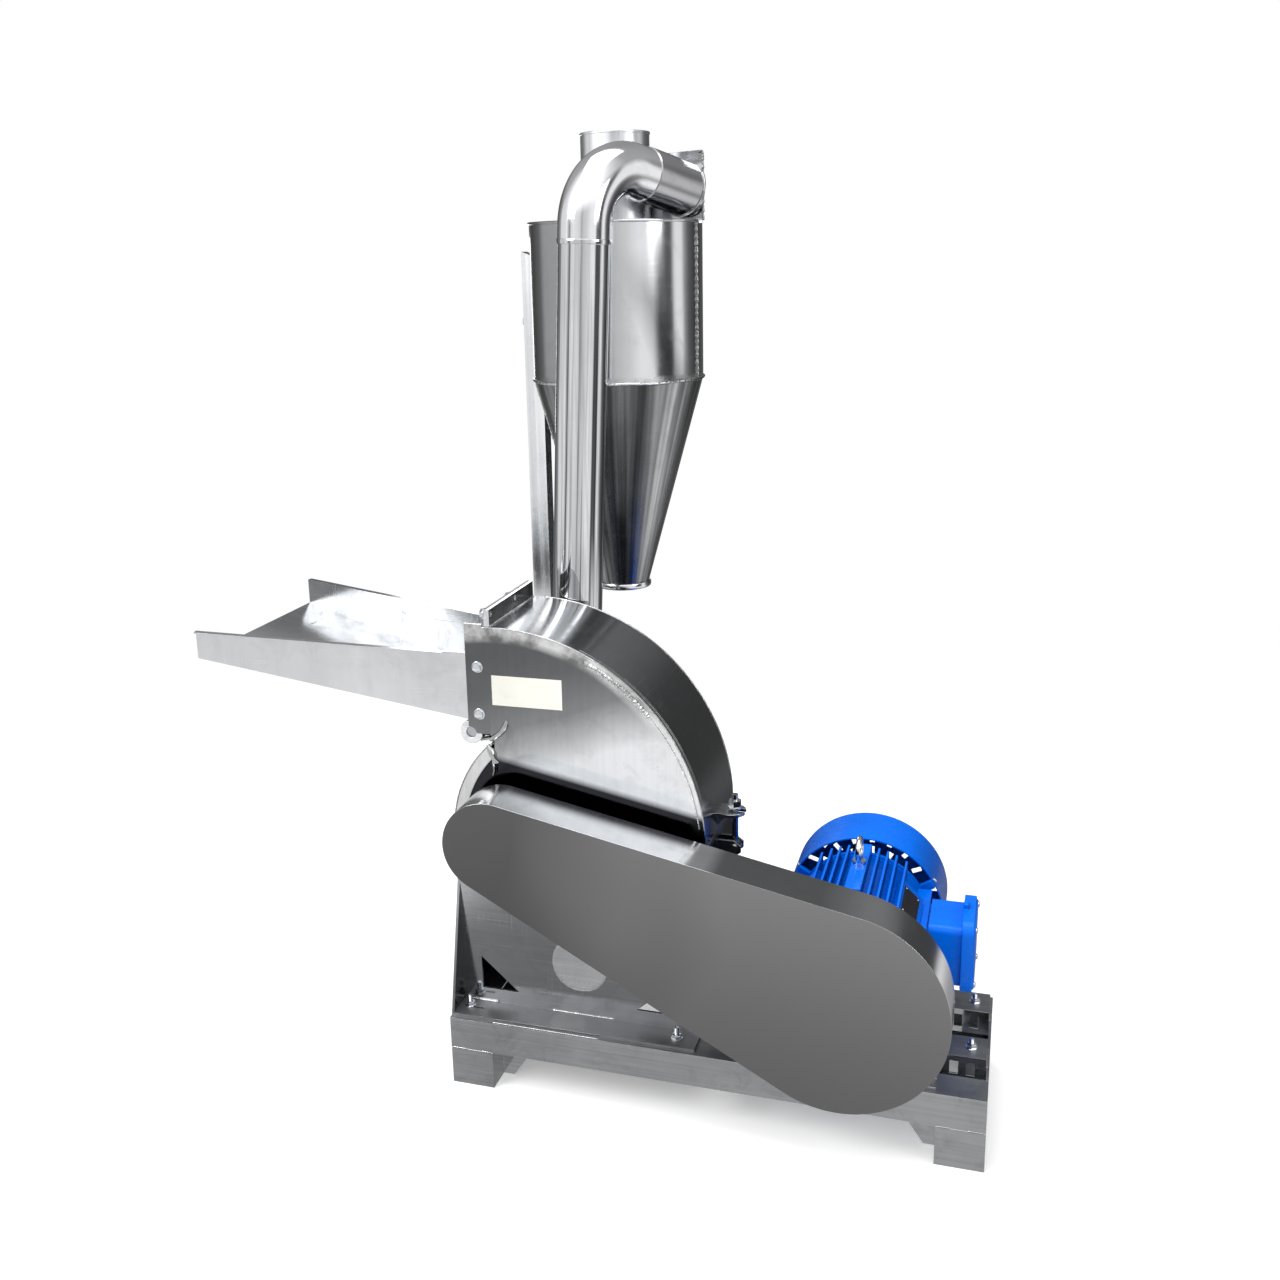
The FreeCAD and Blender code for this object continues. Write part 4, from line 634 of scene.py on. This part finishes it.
az, dip = math.radians(27), math.radians(12)
T1 = Vector((math.sin(az) * math.cos(dip), math.cos(az) * math.cos(dip), -math.sin(dip)))
D0 = Vector((0.0488, 0, 1)).normalized()
S0, E0 = Vector((156.5, 293.0, 1271.8)), Vector((219.0, 403.5, 1372.0))
lathe("elbow_collar_low", round_ring(40.2, -4, 4, 2.0), S0, D0, "mirror", "root")
lathe("duct_collar_base", round_ring(40.1, 0.2, 5, 2.4), Vector((121.6, 293, 560)), (0.0488, 0, 1), "weld", "root")
lathe("pipe_weld", round_ring(42.6, -2.5, 0.5, 2.0, 0.6), Vector((264.4, 492.6, 1350.7)) - T1 * 2, T1, "weld", "root")
lathe("stub_rim", [(54.0, -3.0), (54.0, 0.4), (54.6, 1.0), (56.4, 1.0), (57.2, 0.2), (57.2, -2.4), (56.2, -3.0)], Vector((149.7, 487.7, 1442)), (0, 0, 1), "stub", "root")
lathe("spout_ring", [(43.6, -5.6), (48.2, -5.9), (49.0, -4.6), (49.0, 2.6), (48.2, 3.9), (45.6, 4.0)], Vector((149, 484, 700)), (0, 0, 1), "cyclone", "root")


disc = lathe("disc_dished", [(45.0, -0.1), (45.0, 1.6), (44.2, 2.5), (42.6, 2.7), (38.0, 2.3), (28.0, 1.7), (16.0, 1.35), (5.0, 1.2), (0.4, 1.2), (0.4, -0.1)], Vector((197, 55, 202)), (0, -1, 0), "disc", "root", 96)
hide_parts("blank_disc")
for i, (a0, a1) in enumerate(((200, 262), (285, 352), (20, 70))):
    bead("weld_disc_%d" % i, arc_pts(197, 202, 45.6, a0, a1, 54.9, 1.2), 0.9, seed=50 + i)

# ------------------------------------------------------------------ fasteners
def hex_ring(bm, p, d, u, w, R, h, squash=1.0):
    return [bm.verts.new(W(*(p + d * h + (u * math.cos(math.radians(60 * i + 30)) + w * math.sin(math.radians(60 * i + 30))) * R * squash))) for i in range(6)]


def bolt_into(bm, p, d, r, af, hh, grip, nut_h=0.0, tail=0.0):
    p, d = Vector(p), Vector(d).normalized()
    u = Vector((1, 0, 0)) if abs(d.x) < 0.9 else Vector((0, 1, 0))
    u = (u - d * u.dot(d)).normalized()
    w = d.cross(u)
    R = af / math.sqrt(3)

    def stack(levels, seg=None):
        rings = []
        for rad, h in levels:
            if seg:
                rings.append([bm.verts.new(W(*(p + d * h + (u * math.cos(2 * math.pi * k / seg) + w * math.sin(2 * math.pi * k / seg)) * rad))) for k in range(seg)])
            else:
                rings.append(hex_ring(bm, p, d, u, w, rad, h))
        for q, s in zip(rings, rings[1:]):
            m = len(q)
            for k in range(m):
                bm.faces.new((q[k], q[(k + 1) % m], s[(k + 1) % m], s[k]))
        bm.faces.new(list(reversed(rings[0])))
        bm.faces.new(rings[-1])

    stack([(R * 0.80, -hh), (R * 0.95, -hh + 0.35), (R * 0.995, -hh + 1.0), (R, -hh + 1.4), (R, -0.3), (R * 0.97, -0.05)])
    stack([(R * 1.12, -1.15), (R * 1.16, -0.95), (R * 1.16, -0.15), (R * 1.12, 0.0)], 28)
    if nut_h:
        stack([(R * 1.12, grip), (R * 1.16, grip + 0.15), (R * 1.16, grip + 0.95), (R * 1.12, grip + 1.15)], 28)
        stack([(R * 0.97, grip + 1.1), (R, grip + 1.4), (R, grip + nut_h - 1.4), (R * 0.995, grip + nut_h - 1.0), (R * 0.95, grip + nut_h - 0.35), (R * 0.80, grip + nut_h)])
    end = grip + nut_h + tail
    lv, h = [(r * 0.86, 0.0)], 0.0
    pitch = 1.25
    while h < end - 1.2:
        lv += [(r * 0.86, h + 0.05), (r, h + pitch / 2), (r * 0.86, h + pitch - 0.05)]
        h += pitch
    lv += [(r * 0.86, end - 0.6), (r * 0.7, end)]
    lv = [lv[0]] + [a for a, b in zip(lv[1:], lv) if a[1] > b[1] + 1e-4]
    stack(lv, 16)


def bolts(name, node, mat, body, items):
    bm = bmesh.new()
    for it in items:
        bolt_into(bm, *it)
    bmesh.ops.recalc_face_normals(bm, faces=bm.faces)
    me = bpy.data.meshes.new(name)
    bm.to_mesh(me)
    bm.free()
    o = add_object(name, me, MAT[mat], body, 30)
    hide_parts(node)
    return o


cb = []
for a, b in ((50.9, 665.7), (50.9, 592.7)):
    cb.append(((a, 55, b), (0, 1, 0), 4, 13, 5.5, 6, 6.5, 3))
    cb.append(((a, 249, b), (0, -1, 0), 4, 13, 5.5, 6, 6.5, 3))
for a, b in ((66, 745), (166, 745)):
    cb.append(((62, a, b), (1, 0, 0), 4, 13, 6.5, 8.9, 0, 0))
bolts("cover_bolt_set", "cover_bolts", "zinc", "cover", cb)
ab = []
for x, y in ((20, 36), (354, 31), (20, 259), (374, 259)):
    ab.append(((x, y, 108), (0, 0, 1), 4, 13, 5.5, 8, 7, 11))
for p in ((53, 393), (295, 250), (715, 158)):
    ab.append(((p[0], 27, p[1]), (0, 1, 0), 4, 13, 5.5, 7, 6.5, 2))
for s in (-1, 1):
    ab.append(((197 + s * 65, 43, 375), (0, 1, 0), 5, 16, 7, 16, 4.5, 0))
    ab.append(((197 + s * 65, 345, 375), (0, -1, 0), 5, 16, 7, 15, 8, 0))
for y in (104, 230):
    ab.append(((774, y, 124), (0, 0, 1), 4, 13, 5.5, 3, 7, 7))
ab.append(((-24, 515, 1145), (1, 0, 0), 4, 13, 5.5, 2.5, 6.5, 3))
bolts("frame_bolt_set", "assembly_bolts", "zinc", "root", ab)
bolts("motor_bolt_set", "motor_foot_bolts", "zinc", "root", [((599.5 + s * 95, yy, 139), (0, 0, -1), 5, 16, 7, 15, 8, 4) for s in (-1, 1) for yy in (100, 240)])


def screw_set(name, items, mat, body):
    # small domed screws with a cross slot: (point, direction, radius)
    bm = bmesh.new()
    for p, d, r in items:
        p, d = Vector(p), Vector(d).normalized()
        u = d.cross(Vector((0, 0, 1)))
        u = (u if u.length > 0.1 else d.cross(Vector((0, 1, 0)))).normalized()
        w = d.cross(u)
        rings = []
        for rad, h in ((1.0, 0.0), (1.0, 0.35), (0.85, 0.62), (0.55, 0.8), (0.24, 0.86)):
            rings.append([bm.verts.new(W(*(p + d * h * r * 0.8 + (u * math.cos(math.pi * k / 10) + w * math.sin(math.pi * k / 10)) * rad * r))) for k in range(20)])
        for q, s in zip(rings, rings[1:]):
            for k in range(20):
                bm.faces.new((q[k], q[(k + 1) % 20], s[(k + 1) % 20], s[k]))
        low = [bm.verts.new(W(*(p + d * r * 0.30 + (u * math.cos(math.pi * k / 10) + w * math.sin(math.pi * k / 10)) * (0.24 if k % 5 else 0.34) * r))) for k in range(20)]
        for k in range(20):
            bm.faces.new((rings[-1][k], rings[-1][(k + 1) % 20], low[(k + 1) % 20], low[k]))
        bm.faces.new(low)
        bm.faces.new(list(reversed(rings[0])))
    bmesh.ops.recalc_face_normals(bm, faces=bm.faces)
    me = bpy.data.meshes.new(name)
    bm.to_mesh(me)
    bm.free()
    return add_object(name, me, MAT[mat], body, 30)


screw_set("lid_screws", [((772.4, y, z), (1, 0, 0), 4.2) for y in (131, 214) for z in (212, 298)], "zinc", "root")
c45 = math.sqrt(0.5)
screw_set("plate_rivets", [((599.5 + (112 * c45) + s * 12 * c45, y, 239 + 112 * c45 - s * 12 * c45), (c45, 0, c45), 1.6) for s in (-1, 1) for y in (113, 181)], "zinc", "root")
screw_set("cowl_screws", [((599.5 + 121.7 * math.cos(math.radians(a)), 263 + 12, 239 + 121.7 * math.sin(math.radians(a))), (math.cos(math.radians(a)), 0, math.sin(math.radians(a))), 4.0) for a in (30, 150, 210, 330)], "zinc", "root")

# ------------------------------------------------------------------ stage, light, camera
me = bpy.data.meshes.new("floor")
bm = bmesh.new()
seg = 96
cen = bm.verts.new((0, 0, -0.0005))
prev = None
for r in (0.4, 0.8, 1.3, 1.9, 2.6, 3.4):
    ring = [bm.verts.new((r * math.cos(2 * math.pi * k / seg), r * math.sin(2 * math.pi * k / seg), -0.0005)) for k in range(seg)]
    for k in range(seg):
        if prev is None:
            bm.faces.new((cen, ring[k], ring[(k + 1) % seg]))
        else:
            bm.faces.new((prev[k], ring[k], ring[(k + 1) % seg], prev[(k + 1) % seg]))
    prev = ring
bm.to_mesh(me)
bm.free()
floor = bpy.data.objects.new("floor", me)
bpy.context.scene.collection.objects.link(floor)
fm = bpy.data.materials.new("pale_floor")
fm.use_nodes = True
t = fm.node_tree
t.nodes.clear()
o = t.nodes.new("ShaderNodeOutputMaterial")
dif = t.nodes.new("ShaderNodeBsdfDiffuse")
dif.inputs[0].default_value = (0.92, 0.92, 0.92, 1)
em = t.nodes.new("ShaderNodeEmission")
em.inputs[1].default_value = 0.28
ad = t.nodes.new("ShaderNodeAddShader")
t.links.new(dif.outputs[0], ad.inputs[0])
t.links.new(em.outputs[0], ad.inputs[1])
tr = t.nodes.new("ShaderNodeBsdfTransparent")
tc = t.nodes.new("ShaderNodeTexCoord")
ln = t.nodes.new("ShaderNodeVectorMath")
ln.operation = "LENGTH"
t.links.new(tc.outputs["Object"], ln.inputs[0])
rp = t.nodes.new("ShaderNodeValToRGB")
mr = t.nodes.new("ShaderNodeMath")
mr.operation = "DIVIDE"
mr.inputs[1].default_value = 3.4
t.links.new(ln.outputs["Value"], mr.inputs[0])
t.links.new(mr.outputs[0], rp.inputs[0])
rp.color_ramp.elements[0].position = 0.28
rp.color_ramp.elements[1].position = 0.85
mx = t.nodes.new("ShaderNodeMixShader")
t.links.new(rp.outputs[0], mx.inputs[0])
t.links.new(ad.outputs[0], mx.inputs[1])
t.links.new(tr.outputs[0], mx.inputs[2])
# what polished sheet sees of the floor: painted shade on a glowing floor, darkest beside and behind the part
rp2 = t.nodes.new("ShaderNodeValToRGB")
t.links.new(mr.outputs[0], rp2.inputs[0])
rp2.color_ramp.elements[0].position = 0.55
rp2.color_ramp.elements[1].position = 0.85
em2 = t.nodes.new("ShaderNodeEmission")
rp3 = t.nodes.new("ShaderNodeValToRGB")
t.links.new(mr.outputs[0], rp3.inputs[0])
e3 = rp3.color_ramp.elements
e3[0].position, e3[0].color = 0.14, (0.28, 0.28, 0.28, 1)
e3[1].position, e3[1].color = 0.60, (0.95, 0.95, 0.95, 1)
for pos, c in ((0.25, 0.36), (0.33, 0.62), (0.42, 1.0)):
    x = e3.new(pos)
    x.color = (c, c, c, 1)
sy = t.nodes.new("ShaderNodeSeparateXYZ")
t.links.new(tc.outputs["Object"], sy.inputs[0])
rp4 = t.nodes.new("ShaderNodeValToRGB")
m4 = t.nodes.new("ShaderNodeMath")
m4.operation = "MULTIPLY_ADD"
m4.inputs[1].default_value = -0.5
m4.inputs[2].default_value = 0.5
m5 = t.nodes.new("ShaderNodeMath")
m5.operation = "ABSOLUTE"
t.links.new(sy.outputs[0], m5.inputs[0])
m6 = t.nodes.new("ShaderNodeMath")
m6.operation = "MULTIPLY_ADD"
m6.inputs[1].default_value = -0.9
t.links.new(m5.outputs[0], m6.inputs[0])
t.links.new(sy.outputs[1], m6.inputs[2])
t.links.new(m6.outputs[0], m4.inputs[0])
t.links.new(m4.outputs[0], rp4.inputs[0])
rp4.color_ramp.elements[0].position, rp4.color_ramp.elements[0].color = 0.30, (0.12, 0.12, 0.12, 1)
rp4.color_ramp.elements[1].position, rp4.color_ramp.elements[1].color = 0.60, (1, 1, 1, 1)
mx4 = t.nodes.new("ShaderNodeMix")
mx4.data_type = "RGBA"
mx4.blend_type = "MULTIPLY"
mx4.inputs[0].default_value = 1.0
t.links.new(rp3.outputs[0], mx4.inputs[6])
t.links.new(rp4.outputs[0], mx4.inputs[7])
t.links.new(mx4.outputs[2], em2.inputs[0])
em2.inputs[1].default_value = 1.0
mx2 = t.nodes.new("ShaderNodeMixShader")
t.links.new(rp2.outputs[0], mx2.inputs[0])
t.links.new(em2.outputs[0], mx2.inputs[1])
t.links.new(tr.outputs[0], mx2.inputs[2])
lpf = t.nodes.new("ShaderNodeLightPath")
mx3 = t.nodes.new("ShaderNodeMixShader")
t.links.new(lpf.outputs["Is Glossy Ray"], mx3.inputs[0])
t.links.new(mx.outputs[0], mx3.inputs[1])
t.links.new(mx2.outputs[0], mx3.inputs[2])
t.links.new(mx3.outputs[0], o.inputs[0])
floor.data.materials.append(fm)

world = bpy.data.worlds.new("studio")
bpy.context.scene.world = world
world.use_nodes = True
t = world.node_tree
t.nodes.clear()
wo = t.nodes.new("ShaderNodeOutputWorld")
lp = t.nodes.new("ShaderNodeLightPath")
bg_c = t.nodes.new("ShaderNodeBackground")
bg_c.inputs[0].default_value = (1, 1, 1, 1)
bg_c.inputs[1].default_value = 1.0
bg_r = t.nodes.new("ShaderNodeBackground")
tc = t.nodes.new("ShaderNodeTexCoord")
sx = t.nodes.new("ShaderNodeSeparateXYZ")
t.links.new(tc.outputs["Generated"], sx.inputs[0])

def wmath(op, a, b=0.0):
    n = t.nodes.new("ShaderNodeMath")
    n.operation = op
    for i, v in enumerate((a, b)):
        if isinstance(v, bpy.types.NodeSocket):
            t.links.new(v, n.inputs[i])
        else:
            n.inputs[i].default_value = v
    return n.outputs[0]


def wramp(f, stops, interp="LINEAR"):
    n = t.nodes.new("ShaderNodeValToRGB")
    n.color_ramp.interpolation = interp
    t.links.new(f, n.inputs[0])
    e = n.color_ramp.elements
    while len(e) < len(stops):
        e.new(0.5)
    for i, (pos, c) in enumerate(stops):
        e[i].position = pos
        e[i].color = (c, c, c, 1)
    return n.outputs[0]


def wmix(f, a, b):
    n = t.nodes.new("ShaderNodeMix")
    n.data_type = "RGBA"
    for i, v in ((0, f), (6, a), (7, b)):
        if isinstance(v, bpy.types.NodeSocket):
            t.links.new(v, n.inputs[i])
        else:
            n.inputs[i].default_value = (v, v, v, 1)
    return n.outputs[2]


# room around the part: soft cards and dark gaps by compass angle, pale ceiling
ang = wmath("ARCTAN2", sx.outputs[0], wmath("MULTIPLY", sx.outputs[1], -1.0))
ang = wmath("ADD", wmath("DIVIDE", ang, 2 * math.pi), 0.5)
CARDS = [(-180, .10), (-150, .16), (-128, .10), (-104, .30), (-96, .75), (-70, .80), (-60, .95), (-50, .30), (-45, .25), (-40, .75), (-30, .85), (-12, .80), (2, .70), (6, .38),
         (12, .60), (30, .72), (46, .95), (66, .90), (73, .10), (94, .08), (99, .90), (112, .95), (118, .30), (126, .12), (142, .05), (160, .07), (180, .10)]
band = wramp(ang, [((d + 180) / 360.0, c) for d, c in CARDS])
el = wmath("ADD", wmath("MULTIPLY", sx.outputs[2], 0.5), 0.5)
ceil = wramp(el, [(0.62, 0.0), (0.74, 1.0)])
sky = wramp(ang, [((d + 180) / 360.0, c) for d, c in ((-180, .30), (-100, .42), (-72, .9), (-56, 1.35), (52, 1.35), (78, .8), (100, .42), (180, .30))])
ground = wramp(el, [(0.26, 1.0), (0.38, 0.0)])
room = wmix(ceil, band, sky)
room = wmix(ground, room, 0.30)
t.links.new(room, bg_r.inputs[0])
bg_r.inputs[1].default_value = 1.0
ms = t.nodes.new("ShaderNodeMixShader")
t.links.new(lp.outputs["Is Camera Ray"], ms.inputs[0])
t.links.new(bg_r.outputs[0], ms.inputs[1])
t.links.new(bg_c.outputs[0], ms.inputs[2])
t.links.new(ms.outputs[0], wo.inputs[0])


def area(name, loc, target, size, power, size_y=None):
    li = bpy.data.lights.new(name, "AREA")
    li.shape = "RECTANGLE"
    li.size = size
    li.size_y = size_y or size
    li.energy = power
    ob = bpy.data.objects.new(name, li)
    bpy.context.scene.collection.objects.link(ob)
    ob.location = loc
    ob.rotation_euler = (Vector(target) - Vector(loc)).to_track_quat("-Z", "Y").to_euler()
    return ob


area("key_left", (-2.1, -2.3, 2.7), (0, 0, 0.7), 1.7, 60)
area("top_soft", (0.0, -0.3, 3.6), (0.0, 0.0, 0.7), 2.4, 52)
area("fill_right", (2.9, -1.0, 1.9), (0.1, 0, 0.6), 1.2, 14)
card = area("card_back", (-0.62, 1.25, 1.06), (-0.15, -0.14, 0.72), 0.62, 3.2, 0.5)
card.visible_camera = False

cam = bpy.data.cameras.new("camera")
co = bpy.data.objects.new("camera", cam)
bpy.context.scene.collection.objects.link(co)
R, U, F = Vector((.953, .3019, -.0255)).normalized(), Vector((-.0487, .2356, .9706)).normalized(), Vector((-.299, .9238, -.2392)).normalized()
co.matrix_world = Matrix(((R.x, U.x, -F.x, 0.5876), (R.y, U.y, -F.y, -1.96535), (R.z, U.z, -F.z, 1.2429), (0, 0, 0, 1)))
cam.sensor_width = 36.0
cam.lens = 37.353
cam.shift_x = 0.0335
cam.shift_y = -0.0404
cam.clip_start, cam.clip_end = 0.05, 50
bpy.context.scene.camera = co
bpy.context.scene.view_settings.view_transform = "Standard"
bpy.context.scene.view_settings.look = "None"
